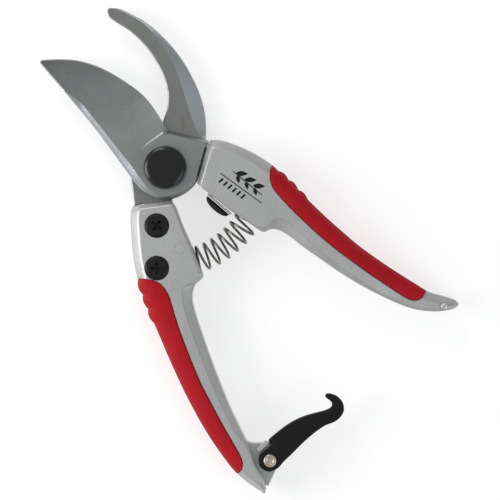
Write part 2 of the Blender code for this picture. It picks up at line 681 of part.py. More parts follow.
# ---- catch ----
pin = [
    (0, 3.5), (2.5, 3.5), (2.6, 3.8), (2.6, 4.7), (1.6, 4.7), (1.6, 14.3), (2.6, 14.3), (2.6, 14.9),
    (2.1, 15.2), (1.2, 15.2), (0.9, 14.9), (0, 14.8),
]
finish("catch_pin", turned(pin, CATCH_PIN, 32), rivet_steel, pivot=CATCH_PIN)
washer("catch_washer", CATCH_PIN, 1.9, 3.6, 10.1, 10.7, zinc_steel, CATCH_PIN)
LEVER = [
    (-46.5, -113.3), (-47.5, -115.7), (-46.2, -119.0), (-42.8, -120.3), (-38.6, -119.8), (-34.9, -119.6),
    (-29.4, -119.1), (-23.7, -118.9), (-17.8, -119.3), (-13.3, -120.7), (-10.1, -120.7), (-7.5, -119.5),
    (-5.9, -116.7), (-6.1, -113.4), (-7.5, -111.0), (-8.7, -110.1), (-9.8, -110.8), (-9.3, -113.5),
    (-9.9, -114.9), (-11.3, -115.3), (-13.9, -114.5), (-17.0, -113.0), (-21.1, -111.2), (-25.7, -109.9),
    (-30.7, -109.3), (-35.8, -109.2), (-38.3, -109.5), (-38.5, -111.4), (-40.2, -111.8), (-44.6, -111.7),
]
lever = finish("catch_lever", slab(LEVER, CATCH_Z[0], CATCH_Z[1], 0.5), catch_paint, pivot=CATCH_PIN)
cut(lever, drill("lever_hole", CATCH_PIN, 1.9, 8.0, 18.0, 24))

# ---- bumper ----
EDGE_RUN = math.radians(BLADE_AXIS - 14.6)
edge_along = Vector((math.cos(EDGE_RUN), math.sin(EDGE_RUN)))
edge_out = Vector((edge_along.y, -edge_along.x))
edge_mid = Vector(local(BLADE_AXIS, 25.2, -2.5))


def beside_edge(along, out):
    spot = edge_mid + edge_along * along + edge_out * out
    return spot.x, spot.y


seat = [(*beside_edge(a, o), 0.3) for a, o in ((-5.2, 0.5), (5.4, 0.5), (5.4, 1.35), (-5.2, 1.35))]
finish("bumper_plate", slab(rounded(seat, 2), 3.2, 12.8), zinc_steel)
pad = [(*beside_edge(a, o), r) for a, o, r in ((-4.6, 1.6, 0), (4.8, 1.6, 0), (4.5, 3.9, 2.2), (-4.2, 3.9, 2.6))]
finish("bumper", slab(rounded(pad, 4), 3.6, 12.4, 0.5), black_rubber)

# ---- return spring ----
coil = bpy.data.curves.new("return_spring_line", "CURVE")
coil.dimensions = "3D"
coil.bevel_depth = SPRING_WIRE_R * MM
coil.bevel_resolution = 1
coil.use_fill_caps = True
line = coil.splines.new("POLY")
steps = int(SPRING_TURNS * 20)
line.points.add(steps)
for k in range(steps + 1):
    share = k / steps
    angle = SPRING_START + (SPRING_END - SPRING_START) * share
    spot = spring_place(angle, 2 * math.pi * SPRING_TURNS * share + 2.95) * MM
    line.points[k].co = (*spot, 1.0)
holder = bpy.data.objects.new("spring_line", coil)
bpy.context.scene.collection.objects.link(holder)
bpy.context.view_layer.update()
wire = bpy.data.meshes.new_from_object(holder.evaluated_get(bpy.context.evaluated_depsgraph_get()))
bpy.data.objects.remove(holder, do_unlink=True)
bm = bmesh.new()
bm.from_mesh(wire)
bm.transform(Matrix.Scale(1 / MM, 4))
finish("return_spring", bm, spring_steel)
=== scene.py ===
import math

import bmesh
import bpy
import numpy as np
from mathutils import Matrix, Vector
from mathutils.geometry import delaunay_2d_cdt


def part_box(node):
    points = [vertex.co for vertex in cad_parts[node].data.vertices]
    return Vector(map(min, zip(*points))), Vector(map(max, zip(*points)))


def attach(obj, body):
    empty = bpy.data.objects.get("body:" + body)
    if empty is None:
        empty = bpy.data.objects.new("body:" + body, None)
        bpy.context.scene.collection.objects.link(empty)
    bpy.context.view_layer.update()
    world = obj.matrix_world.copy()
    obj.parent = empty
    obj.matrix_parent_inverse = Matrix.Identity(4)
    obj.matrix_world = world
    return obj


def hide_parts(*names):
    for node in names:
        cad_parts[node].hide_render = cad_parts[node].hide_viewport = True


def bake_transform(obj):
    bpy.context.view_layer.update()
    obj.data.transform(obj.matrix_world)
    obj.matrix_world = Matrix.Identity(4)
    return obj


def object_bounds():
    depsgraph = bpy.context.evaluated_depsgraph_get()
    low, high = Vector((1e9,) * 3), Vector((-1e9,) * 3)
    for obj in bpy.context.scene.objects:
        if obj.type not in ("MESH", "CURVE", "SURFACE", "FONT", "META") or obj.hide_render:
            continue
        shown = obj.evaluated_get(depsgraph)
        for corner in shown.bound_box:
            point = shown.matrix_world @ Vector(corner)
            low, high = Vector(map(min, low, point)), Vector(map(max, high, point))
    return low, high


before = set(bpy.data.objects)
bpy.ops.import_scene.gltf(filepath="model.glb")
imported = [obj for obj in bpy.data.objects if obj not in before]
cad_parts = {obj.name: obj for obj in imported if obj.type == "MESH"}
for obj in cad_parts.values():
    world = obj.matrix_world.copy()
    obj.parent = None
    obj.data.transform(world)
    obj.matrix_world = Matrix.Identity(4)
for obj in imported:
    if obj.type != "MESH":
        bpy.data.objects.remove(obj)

cad_low, cad_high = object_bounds()

MM = 0.001
GAP = 0.22  # between a grip and its handle
PLATE_BACK = 4.2  # heights of the two blades' faces
HOOK_FACE = 7.85
BLADE_BACK = 8.15
BOSS_FACE = 12.2
MID = 8.0  # the handles' middle height
CHAMFER = 3.4
GRIP_SKIN = 1.8
GRIP_PROUD = 0.35
BORE_R = 4.1
WASHER_R = 7.3
SPRING_ARC_R = 38.8
SPRING_COIL_R = 5.1
SPRING_WIRE_R = 0.5
SPRING_TURNS = 8.0
SPRING_START = -115.2
SPRING_END = -68.6
POCKET_R = 6.0
HOOK_AXIS = -113.0  # headings of the two handles
BLADE_AXIS = -66.0
HEAD_R = 4.7
HEAD_SEAT_R = HEAD_R + 0.25
SCREW_HOLE_R = 2.2
PIN_HOLE_R = 1.9
TANG_HALF = 5.4
SLOT_HALF = 5.7
BLADE_TANG_T = 8.7
LUG_Z = (5.0, 9.9)


def middle_of(name):
    """A CAD node's middle in plan, and its lowest and highest point, all in mm."""
    low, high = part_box(name)
    return ((low.x + high.x) / 2 / MM, (low.y + high.y) / 2 / MM), low.z / MM, high.z / MM


PIN_PLACE, PIN_LOW = middle_of("catch_pin")[:2]
SCREW_A, SCREW_FOOT, SCREW_TOP = middle_of("hook_handle_screw_upper")
SCREW_B = middle_of("hook_handle_screw_lower")[0]
CAP_PLACE = middle_of("pivot_cap")[0]
NIB_PLACE, NIB_LOW, NIB_TOP = middle_of("catch_nib")


# ---- mesh tools ----
def smooth_at(points, s):
    """The value at s of a smooth line through (s, value) points."""
    if s <= points[0][0]:
        return points[0][1]
    if s >= points[-1][0]:
        return points[-1][1]
    i = max(k for k in range(len(points) - 1) if points[k][0] <= s)

    def slope(k):
        a = points[max(k - 1, 0)]
        b = points[min(k + 1, len(points) - 1)]
        return (b[1] - a[1]) / (b[0] - a[0])

    width = points[i + 1][0] - points[i][0]
    u = (s - points[i][0]) / width
    rise = points[i + 1][1] - points[i][1]
    low = slope(i) * width
    high = slope(i + 1) * width
    return points[i][1] + u * (low + u * (3 * rise - 2 * low - high + u * (low + high - 2 * rise)))


def smooth_path(points, count):
    """Points along a smooth curve through the given points, count to a span."""
    out = []
    for i in range(len(points) - 1):
        p0 = Vector(points[max(i - 1, 0)])
        p1 = Vector(points[i])
        p2 = Vector(points[i + 1])
        p3 = Vector(points[min(i + 2, len(points) - 1)])
        for k in range(count):
            u = k / count
            bend = (2 * p0 - 5 * p1 + 4 * p2 - p3) * u * u + (3 * p1 - p0 - 3 * p2 + p3) * u ** 3
            out.append(0.5 * (2 * p1 + (p2 - p0) * u + bend))
    out.append(Vector(points[-1]))
    return out


def heading(degrees):
    """The unit vector in plan at an angle from +X."""
    return Vector((math.cos(math.radians(degrees)), math.sin(math.radians(degrees))))


def local(axis, s, t):
    """Handle place to shears place: s along the handle, t to its left."""
    angle = math.radians(axis)
    return s * math.cos(angle) - t * math.sin(angle), s * math.sin(angle) + t * math.cos(angle)


def round_corner(a, corner, b, u):
    """The place at u, from 0 to 1, on the curve from a to b that rounds a corner off."""
    return (1 - u) ** 2 * a + 2 * u * (1 - u) * corner + u * u * b


def rounded(corners, steps=6):
    """A closed outline from (x, y, radius) corners, each rounded by its radius."""
    out = []
    count = len(corners)
    for i in range(count):
        here = Vector(corners[i][:2])
        back = Vector(corners[i - 1][:2]) - here
        ahead = Vector(corners[(i + 1) % count][:2]) - here
        reach = min(corners[i][2], 0.45 * back.length, 0.45 * ahead.length)
        if reach < 0.03:
            out.append(here)
            continue
        a = here + back.normalized() * reach
        b = here + ahead.normalized() * reach
        out += [round_corner(a, here, b, k / steps) for k in range(steps + 1)]
    return out


def fillet(corners):
    """Like rounded, but always the same count of points to a corner; corners at one place share an arc."""
    per_corner = 5
    groups = []
    for d, z, radius in corners:
        if groups and (Vector((d, z)) - groups[-1][0]).length < 0.02:
            groups[-1][1] += per_corner
            groups[-1][2] = max(groups[-1][2], radius)
        else:
            groups.append([Vector((d, z)), per_corner, radius])
    out = []
    for i, (here, points, radius) in enumerate(groups):
        back = groups[i - 1][0] - here
        ahead = groups[(i + 1) % len(groups)][0] - here
        reach = min(radius, 0.45 * back.length, 0.45 * ahead.length)
        a = here + back.normalized() * reach
        b = here + ahead.normalized() * reach
        for k in range(points):
            spot = round_corner(a, here, b, k / (points - 1))
            out.append((spot.x, spot.y))
    return out


def skin(bm, rings):
    """Faces between rings of equal count, with both ends filled."""
    count = len(rings[0])
    for a, b in zip(rings, rings[1:]):
        for i in range(count):
            j = (i + 1) % count
            bm.faces.new((a[i], a[j], b[j], b[i]))
    bm.faces.new(rings[0])
    bm.faces.new(rings[-1])


def loft(sections):
    bm = bmesh.new()
    skin(bm, [[bm.verts.new(place) for place in section] for section in sections])
    return bm


def area_of(outline):
    """Twice a closed outline's area, positive if it runs counter-clockwise."""
    return sum(a[0] * b[1] - b[0] * a[1] for a, b in zip(outline[-1:] + outline[:-1], outline))


def mitres(outline, least):
    """For each corner: its place, the way inward, and what an inset is divided by, at least least."""
    spots = [Vector(tuple(p)[:2]) for p in outline]
    out = []
    for i, here in enumerate(spots):
        before = (here - spots[i - 1]).normalized()
        after = (spots[(i + 1) % len(spots)] - here).normalized()
        inward = Vector((-before.y - after.y, before.x + after.x))
        out.append((here, inward, max(0.5 * inward.length_squared, least)))
    return out


def slab(outline, levels):
    """A plate from an outline; levels are (z, inset) rings from the back to the front."""
    bm = bmesh.new()
    turn = 1.0 if area_of(outline) > 0 else -1.0
    corners = mitres(outline, 0.5)
    rings = []
    for z, inset in levels:
        places = [here + inward * (turn * inset / scale) for here, inward, scale in corners]
        rings.append([bm.verts.new((p.x, p.y, z)) for p in places])
    skin(bm, rings)
    return bm


def edge_levels(low, high, back, front, steps=4):
    """Levels for slab with round edges: back and front are the radii."""
    arc = [math.pi / 2 * k / steps for k in range(steps + 1)]
    below = [(low + back * (1 - math.cos(a)), back * (1 - math.sin(a))) for a in arc]
    above = [(high - front * (1 - math.sin(a)), front * (1 - math.cos(a))) for a in arc]
    return (below if back else [(low, 0)]) + (above if front else [(high, 0)])


def turned(profile, place, steps=72):
    """A turned piece about Z through place from a closed (radius, z) outline."""
    bm = bmesh.new()
    rings = []
    for r, z in profile:
        angles = [2 * math.pi * k / steps for k in range(1 if r == 0 else steps)]
        rings.append([bm.verts.new((place[0] + r * math.cos(a), place[1] + r * math.sin(a), z)) for a in angles])
    for i, a in enumerate(rings):
        b = rings[(i + 1) % len(rings)]
        for k in range(steps if len(a) + len(b) > 2 else 0):
            j = (k + 1) % steps
            if len(a) == 1:
                bm.faces.new((a[0], b[j], b[k]))
            elif len(b) == 1:
                bm.faces.new((a[k], a[j], b[0]))
            else:
                bm.faces.new((a[k], a[j], b[j], b[k]))
    return bm


def as_object(name, bm, looks, angle):
    """An object from a mesh in mm, smooth except where faces meet at more than angle."""
    bm.transform(Matrix.Scale(MM, 4))
    mesh = bpy.data.meshes.new(name)
    bm.to_mesh(mesh)
    bm.free()
    for material in looks:
        mesh.materials.append(material)
    made = bpy.data.objects.new(name, mesh)
    bpy.context.scene.collection.objects.link(made)
    soften(made, angle)
    return made


def shape(name, bm, *looks, angle=32.0):
    """Like as_object, with doubled points joined and the faces turned outward."""
    bmesh.ops.remove_doubles(bm, verts=bm.verts, dist=0.002)
    bmesh.ops.dissolve_degenerate(bm, edges=bm.edges, dist=0.001)
    bmesh.ops.recalc_face_normals(bm, faces=bm.faces)
    return as_object(name, bm, looks, angle)


def soften(made, angle):
    made.data.shade_smooth()
    made.data.set_sharp_from_angle(angle=math.radians(angle))


def carve(target, *cutters, add=(), angle=32.0):
    """Joins the tools in add to target, cuts the cutters away from it in turn, and removes them all."""
    steps = [("UNION", other) for other in add] + [("DIFFERENCE", other) for other in cutters]
    for operation, other in steps:
        step = target.modifiers.new(other.name, "BOOLEAN")
        step.operation = operation
        step.object = other
        step.solver = "EXACT"
    bpy.context.view_layer.update()
    graph = bpy.context.evaluated_depsgraph_get()
    mesh = bpy.data.meshes.new_from_object(target.evaluated_get(graph))
    target.modifiers.clear()
    old = target.data
    target.data = mesh
    bpy.data.meshes.remove(old)
    for _, other in steps:
        bpy.data.objects.remove(other, do_unlink=True)
    soften(target, angle)


def tool(bm):
    return shape("tool", bm)


def drill(place, radius, low, high, edge=0.0, steps=64):
    """A round cutter; edge flares its top so that the hole's mouth is softened."""
    profile = [(0, low), (radius, low), (radius, high - edge)]
    profile += [(radius + edge, high), (0, high)]
    return tool(turned(profile, place, steps))


def put(made, body, *nodes, slot=None):
    """Rides a finished piece on its body, in place of these CAD nodes."""
    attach(made, body)
    if nodes:
        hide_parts(*nodes)
    return made


def distance_to(points, path, closed=False):
    """Distance from each point to a path, and how far along it the nearest place is, in points."""
    path = np.array([tuple(p)[:2] for p in path], float)
    if closed:
        path = np.vstack([path, path[:1]])
    best = np.full(len(points), 1e9)
    place = np.zeros(len(points))
    for k in range(len(path) - 1):
        a, run = path[k], path[k + 1] - path[k]
        length = run @ run
        if length < 1e-12:
            continue
        u = np.clip((points - a) @ run / length, 0, 1)
        gap = np.hypot(*(points - a - u[:, None] * run).T)
        near = gap < best
        best[near] = gap[near]
        place[near] = k + u[near]
    return best, place


def gap_to(points, path, closed=False):
    return distance_to(points, path, closed)[0]


def side_of(points, path):
    """Signed distance to a path, positive to its left."""
    gap, place = distance_to(points, path)
    path = np.array([tuple(p) for p in path])
    k = np.minimum(place.astype(int), len(path) - 2)
    run = path[k + 1] - path[k]
    off = points - path[k]
    return gap * np.sign(run[:, 0] * off[:, 1] - run[:, 1] * off[:, 0])


def inside(points, outline):
    out = np.zeros(len(points), bool)
    x, y = points.T
    for k in range(len(outline)):
        (x0, y0), (x1, y1) = tuple(outline[k - 1])[:2], tuple(outline[k])[:2]
        if y0 == y1:
            continue
        out ^= ((y0 > y) != (y1 > y)) & (x < (x1 - x0) * (y - y0) / (y1 - y0) + x0)
    return out


def spread(path, step, closed=False):
    """The path with its long spans split, so that no span is over step."""
    out = []
    ends = list(path) + ([path[0]] if closed else [])
    for a, b in zip(ends, ends[1:]):
        a, b = Vector(tuple(a)[:2]), Vector(tuple(b)[:2])
        n = max(1, math.ceil((b - a).length / step))
        out += [a + (b - a) * (k / n) for k in range(n)]
    if not closed:
        out.append(Vector(tuple(path[-1])[:2]))
    return out


def inset_path(outline, inset):
    """A closed counter-clockwise outline moved inward."""
    return [here + inward * (inset / scale) for here, inward, scale in mitres(outline, 0.6)]


def relief(outline, lines, height, back, step):
    """A plate with a flat back whose front face is lifted to height(points) in mm."""
    outline = [Vector(tuple(p)[:2]) for p in outline]
    if area_of(outline) < 0:
        outline.reverse()
    margin = 0.4  # the rim's rounding needs this much to itself
    rim = spread(outline, 0.9, closed=True)
    paths = [(loop, 0) for loop in (rim, inset_path(rim, 0.12), inset_path(rim, margin))]
    paths += [(spread(line, 0.8), 1) for line in lines]
    points, edges = [], []
    for path, is_open in paths:
        first, count = len(points), len(path)
        points += path
        edges += [(first + k, first + (k + 1) % count) for k in range(count - is_open)]
    fixed = np.array([tuple(p) for p in rim])
    low, high = fixed.min(0), fixed.max(0)
    row_gap = step * 0.87  # of a grid of even triangles
    grid = np.array([(x + 0.5 * step * (row % 2), y)
                     for row, y in enumerate(np.arange(low[1], high[1], row_gap))
                     for x in np.arange(low[0], high[0], step)])
    keep = inside(grid, rim) & (gap_to(grid, rim, True) > margin + 0.4 * step)
    for line in lines:
        keep &= gap_to(grid, line) > 0.35 * step
    points += [Vector(p) for p in grid[keep]]
    flat, _, faces, _, _, _ = delaunay_2d_cdt(points, edges, [], 1, 1e-5)
    flat = np.array([tuple(p) for p in flat])
    z = height(flat)
    bm = bmesh.new()
    top = [bm.verts.new((x, y, h)) for (x, y), h in zip(flat, z)]
    for face in faces:
        bm.faces.new([top[k] for k in face])
    for v in [v for v in bm.verts if not v.link_faces]:
        bm.verts.remove(v)
    open_edges = [e for e in bm.edges if len(e.link_faces) == 1]
    under = {}
    for e in open_edges:
        for v in e.verts:
            if v not in under:
                under[v] = bm.verts.new((v.co.x, v.co.y, back))
    for e in open_edges:
        a, b = e.verts
        bm.faces.new((a, b, under[b], under[a]))
    bmesh.ops.contextual_create(bm, geom=[e for e in bm.edges if len(e.link_faces) == 1])
    return bm


# ---- materials ----
def look(name, colour, metallic, roughness, specular=0.5):
    made = bpy.data.materials.new(name)
    made.use_nodes = True
    shader = made.node_tree.nodes["Principled BSDF"]
    for socket, value in (("Base Color", (*colour, 1.0)), ("Metallic", metallic), ("Roughness", roughness),
                          ("Specular IOR Level", specular)):
        shader.inputs[socket].default_value = value
    return made


def node(made, kind, *values, **settings):
    """A new shader node. values are (socket, number, vector or output to link) pairs."""
    new = made.node_tree.nodes.new("ShaderNode" + kind)
    for name, value in settings.items():
        setattr(new, name, value)
    for socket, value in values:
        if isinstance(value, bpy.types.NodeSocket):
            made.node_tree.links.new(value, new.inputs[socket])
        else:
            new.inputs[socket].default_value = value
    return new


def feed(made, socket, source):
    """Links source to a socket of the material's shader."""
    made.node_tree.links.new(source, made.node_tree.nodes["Principled BSDF"].inputs[socket])


def own_space(made):
    return node(made, "TexCoord").outputs["Object"]


def noise_of(made, size, detail=3.0, rough=0.5, stretch=(1, 1, 1), turn=0.0):
    """A noise texture in the piece's own space; size is that of a fleck, in mm."""
    move = node(made, "Mapping", ("Vector", own_space(made)), ("Rotation", (0, 0, math.radians(turn))),
                ("Scale", stretch))
    return node(made, "TexNoise", ("Vector", move.outputs["Vector"]), ("Scale", 1000.0 / size),
                ("Detail", detail), ("Roughness", rough)).outputs["Fac"]


def ramp(made, source, stops):
    made_ramp = node(made, "ValToRGB", ("Fac", source))
    elements = made_ramp.color_ramp.elements
    for k, (position, colour) in ((0, stops[0]), (1, stops[-1])):
        elements[k].position = position
        elements[k].color = (*colour, 1)
    for position, colour in stops[1:-1]:
        elements.new(position).color = (*colour, 1)
    return made_ramp.outputs["Color"]


def mix(made, a, b, share, mode="MIX"):
    first, second = ((*value, 1) if isinstance(value, tuple) else value for value in (a, b))
    return node(made, "Mix", ("Factor", share), (6, first), (7, second), data_type="RGBA",
                blend_type=mode).outputs[2]


def span(made, source, low, high, start=0.3, stop=0.7):
    """source, taken from start..stop to low..high."""
    return node(made, "MapRange", ("From Min", start), ("From Max", stop), ("To Min", low), ("To Max", high),
                ("Value", source)).outputs["Result"]


def tones(made, colour, depth, *sources):
    """Base colour varied by each (noise, share) about its own value."""
    out = colour
    for source, share in sources:
        dark = tuple(c * (1 - share) for c in colour)
        bright = tuple(min(c * (1 + share), 1.0) for c in colour)
        tint = ramp(made, source, [(0.3, dark), (0.7, bright)])
        out = tint if isinstance(out, tuple) else mix(made, out, tint, depth)
    feed(made, "Base Color", out)


def over_base(made, tint, share, mode="MIX"):
    """Mixes tint over what the base colour already is."""
    base = made.node_tree.nodes["Principled BSDF"].inputs["Base Color"].links[0].from_socket
    feed(made, "Base Color", mix(made, base, tint, share, mode))


def bump(made, source, strength, depth):
    """Relief from source, depth in mm."""
    feed(made, "Normal", node(made, "Bump", ("Strength", strength), ("Distance", depth * MM),
                              ("Height", source)).outputs["Normal"])


def vary_roughness(made, source, low, high):
    feed(made, "Roughness", span(made, source, low, high))


def painted_cast():
    colour = (0.435, 0.44, 0.43)
    made = look("satin_silver_paint", colour, 0.6, 0.42)
    flake = noise_of(made, 0.35, 2.0)
    cloud = noise_of(made, 14.0, 4.0)
    tones(made, colour, 0.5, (flake, 0.30), (cloud, 0.10))
    vary_roughness(made, flake, 0.34, 0.50)
    bump(made, noise_of(made, 0.8, 3.0), 0.35, 0.05)
    return made


def soft_rubber():
    colour = (0.365, 0.006, 0.013)
    made = look("red_soft_grip", colour, 0.0, 0.58, specular=0.12)
    fine = noise_of(made, 0.45, 3.0)
    cloud = noise_of(made, 9.0, 4.0)
    tones(made, colour, 0.5, (fine, 0.16), (cloud, 0.14))
    vary_roughness(made, fine, 0.52, 0.68)
    bump(made, fine, 0.5, 0.05)
    return made


def ground_steel(name, colour, turn, roughness=(0.30, 0.42), grain=1.0):
    made = look(name, colour, 0.9, 0.36)
    lines = noise_of(made, 0.5, 4.0, 0.6, stretch=(0.04, 1.6, 1), turn=turn)
    cloud = noise_of(made, 12.0, 5.0, 0.6)
    spots = noise_of(made, 0.6, 2.0)
    tones(made, colour, 0.4, (cloud, 0.16 * grain), (lines, 0.20 * grain), (spots, 0.12 * grain))
    vary_roughness(made, lines, *roughness)
    if grain == 1.0:
        bump(made, lines, 0.25, 0.02)
    return made


def paint_shade_along(made, degrees, stops):
    """Paints shade into the steel, darker along a heading in plan; stops are (mm, share kept)."""
    along = node(made, "VectorMath", (0, own_space(made)), (1, (*heading(degrees), 0)), operation="DOT_PRODUCT")
    first, last = stops[0][0], stops[-1][0]
    share = span(made, along.outputs["Value"], 0.0, 1.0, first * MM, last * MM)
    tint = ramp(made, share, [((mm - first) / (last - first), (kept, kept, kept)) for mm, kept in stops])
    over_base(made, tint, 1.0, "MULTIPLY")


def stain(made, spot, degrees, length, width, tint):
    """A soft long stain, half of its length and width given, about one spot of the plan."""
    move = node(made, "Mapping", ("Vector", own_space(made)), ("Location", (spot[0] * MM, spot[1] * MM, 0)),
                ("Rotation", (0, 0, math.radians(degrees))), ("Scale", (length * MM, width * MM, 1)),
                vector_type="TEXTURE")
    pool = node(made, "TexGradient", ("Vector", move.outputs["Vector"]), gradient_type="SPHERICAL")
    over_base(made, tint, span(made, pool.outputs["Fac"], 0.0, 0.75, 0.0, 0.8))


def plain(name, colour, metallic, low, high, fleck, depth, share=0.2, specular=0.5):
    made = look(name, colour, metallic, low, specular=specular)
    fine = noise_of(made, fleck, 3.0)
    cloud = noise_of(made, 5.0, 4.0)
    tones(made, colour, 0.5, (fine, share), (cloud, share))
    vary_roughness(made, cloud, low, high)
    bump(made, fine, 0.4, depth)
    return made


paint = painted_cast()
rubber = soft_rubber()
blade_face = ground_steel("ground_blade_steel", (0.29, 0.304, 0.297), 35.0)
# Painted shade: the blade's steel is darkened towards its tip.
paint_shade_along(blade_face, 90.0, [(24, 1.0), (44, 0.82), (64, 0.52)])
blade_bright = ground_steel("bright_ground_bevel", (0.42, 0.44, 0.465), -60.0, (0.30, 0.34), 0.3)
hook_face = ground_steel("satin_hook_steel", (0.245, 0.25, 0.24), 60.0)
stain(hook_face, (16.5, 8.9), 52.0, 4.6, 0.75, (0.20, 0.17, 0.085))
stain(hook_face, (20.4, 11.0), 76.0, 3.4, 0.28, (0.15, 0.15, 0.14))
hook_bevel = ground_steel("hook_bevel_steel", (0.42, 0.45, 0.465), -20.0)
cap_black = plain("black_cap_plastic", (0.010, 0.010, 0.009), 0.0, 0.26, 0.36, 0.5, 0.01, specular=0.25)
cap_rim = plain("black_cap_rim", (0.007, 0.0075, 0.008), 0.0, 0.20, 0.28, 0.5, 0.01, specular=0.42)
screw_black = plain("black_oxide_screw", (0.009, 0.009, 0.009), 0.3, 0.28, 0.42, 0.3, 0.02, specular=0.3)
lever_black = plain("black_lever_paint", (0.006, 0.0065, 0.006), 0.1, 0.34, 0.48, 0.4, 0.03, specular=0.2)
bumper_black = plain("black_rubber", (0.009, 0.009, 0.010), 0.0, 0.5, 0.65, 0.4, 0.03, specular=0.25)
spring_steel = plain("spring_wire", (0.165, 0.155, 0.14), 0.95, 0.22, 0.32, 0.3, 0.01)
rivet_steel = plain("rivet_steel", (0.48, 0.42, 0.35), 0.85, 0.30, 0.42, 0.3, 0.01)
zinc = plain("zinc_plate", (0.52, 0.53, 0.54), 0.85, 0.26, 0.38, 0.4, 0.01, 0.12)
print_black = plain("printed_mark", (0.007, 0.007, 0.008), 0.0, 0.5, 0.6, 0.3, 0.005, specular=0.2)

# ---- handles ----
# Each line is (s, t) along one handle: s from the pivot, t to the left of it.
HOOK_SIDE = {
    "axis": HOOK_AXIS,
    "outer": [
        (10.8, -17.2), (15, -19.1), (20, -20.4), (25, -21.5), (31, -22.7), (38, -23.4), (46, -23.3),
        (54, -22.8), (63, -21.8), (76, -20.4), (92, -18.0), (108, -14.4), (121, -10.1), (125.6, -7.9),
        (130, -5.1), (133.4, -2.5), (135.6, -0.9),
    ],
    "inner": [
        (13.5, -1.5), (16, -0.7), (23, -0.2), (31, 0.7), (38, 1.4), (43, 1.7), (45.8, 1.7), (46.8, 0.4),
        (47.9, -2.1), (50.6, -4.1), (53.3, -5.1), (58, -5.5), (66, -5.4), (80, -4.8), (90, -4.1),
        (100, -3.1), (110, -1.6), (116, -0.6), (123, -0.4), (126, 0.3), (129, 1.1), (133.5, 1.1), (135.6, 0.1),
    ],
    "grip": [
        (39.1, -23.3), (41, -18.6), (43.5, -15.6), (47.0, -14.0), (51, -13.4), (57, -13.5), (63, -13.4),
        (70, -13.0), (76.5, -12.5), (85.5, -11.6), (95.5, -9.8), (104.3, -8.1), (113.2, -6.1), (117.2, -5.2),
        (120.9, -4.9), (123.4, -5.9), (124.8, -8.0),
    ],
    "bevel": [
        (13, 0.8), (36, 0.9), (42, 1.0), (45.2, 1.7), (46.8, 4.4), (48.4, 5.4), (51.5, 4.6), (56, 4.2), (61, 4.4),
        (74, 4.0), (91, 3.4), (107, 2.6), (116, 0.9), (133, 0.8),
    ],
    "front": [(10, 16.0), (90, 16.0), (110, 15.4), (130, 14.5), (133.5, 13.0), (135.6, 11.0)],
    "back": [(10, 0.4), (95, 0.4), (115, 0.7), (130, 1.5), (133.5, 2.6), (135.6, 4.6)],
    "bumps": (39.7, 57.85),
}
BLADE_SIDE = {
    "axis": BLADE_AXIS,
    "outer": [
        (11.2, 17.8), (15, 19.4), (20, 20.3), (25, 20.6), (31, 20.5), (37.2, 19.7), (42, 18.3), (48, 16.5),
        (54, 14.3), (60, 12.3), (66, 10.4), (72, 8.7), (82, 6.1), (89, 4.8), (95, 3.9), (103, 2.9),
        (110, 2.2), (115, 1.7), (118, 1.9), (122, 2.7), (125.7, 3.3), (127.4, 3.35), (128.6, 3.0), (129.1, 2.6),
    ],
    "inner": [
        (14.0, 0.1), (18, -1.1), (24, -2.3), (30, -3.7), (35, -4.5), (41, -5.3), (45.6, -6.0), (47.1, -5.4),
        (48.2, -3.9), (50, -2.8), (53, -2.4), (57, -2.9), (64, -4.4), (73, -5.8), (80, -6.9), (90, -7.9),
        (100, -8.2), (110, -7.8), (115, -6.9), (120, -5.2), (122.8, -3.9), (124.8, -2.7), (126.8, -1.3),
        (128.3, 0.1), (129.1, 1.3),
    ],
    "grip": [
        (37.6, 19.6), (38.3, 16.6), (39.7, 13.9), (42, 11.6), (45.9, 9.7), (52, 7.3), (60, 4.7),
        (67, 2.6), (75, 0.7), (82, -0.6), (90, -2.0), (98, -3.1), (105, -4.0), (109.4, -4.4),
        (112.7, -3.8), (114.6, -1.8), (115.2, 1.6),
    ],
    "bevel": [
        (13, 0.8), (38, 0.9), (43, 1.0), (45.4, 1.5), (46.6, 3.4), (47.7, 4.9), (50.5, 4.3), (55, 4.1), (60, 3.6),
        (65, 2.9), (72, 2.4), (86, 1.9), (100, 1.2), (129, 1.0),
    ],
    "front": [
        (10, 16.0), (70, 16.0), (80, 15.0), (95, 12.8), (107, 10.4), (112, 10.2), (124, 10.2),
        (127, 9.6), (129.1, 8.6),
    ],
    "back": [(10, 0.4), (95, 0.4), (112, 0.7), (122, 1.3), (127, 2.4), (129.1, 4.0)],
    "bumps": (41.2, 56.65),
}


def grip_width(side, s):
    if s <= side["grip"][0][0] or s >= side["grip"][-1][0]:
        return 0.0
    return abs(smooth_at(side["grip"], s) - smooth_at(side["outer"], s))


def station(side, s_outer, s_inner):
    """The handle's outline across one line: places, width and heights."""
    outer = Vector((s_outer, smooth_at(side["outer"], s_outer)))
    inner = Vector((s_inner, smooth_at(side["inner"], s_inner)))
    middle = 0.5 * (s_outer + s_inner)
    return {
        "outer": outer,
        "across": (inner - outer).normalized(),
        "width": (inner - outer).length,
        "bevel": smooth_at(side["bevel"], s_inner),
        "front": smooth_at(side["front"], middle),
        "back": smooth_at(side["back"], middle),
        "grip": grip_width(side, s_outer),
        "s": s_outer,
    }


def envelope(line, d):
    """Front and back heights of the outer chamfer at d from the outer edge."""
    half = 0.5 * (line["front"] - line["back"])
    drop = min(CHAMFER * max(0.0, 1.0 - d / CHAMFER), half - 1.2)
    return line["front"] - drop, line["back"] + drop


def ring_in_place(side, line, section):
    out = []
    for d, z in section:
        flat = line["outer"] + line["across"] * d
        out.append((*local(side["axis"], flat.x, flat.y), z))
    return out


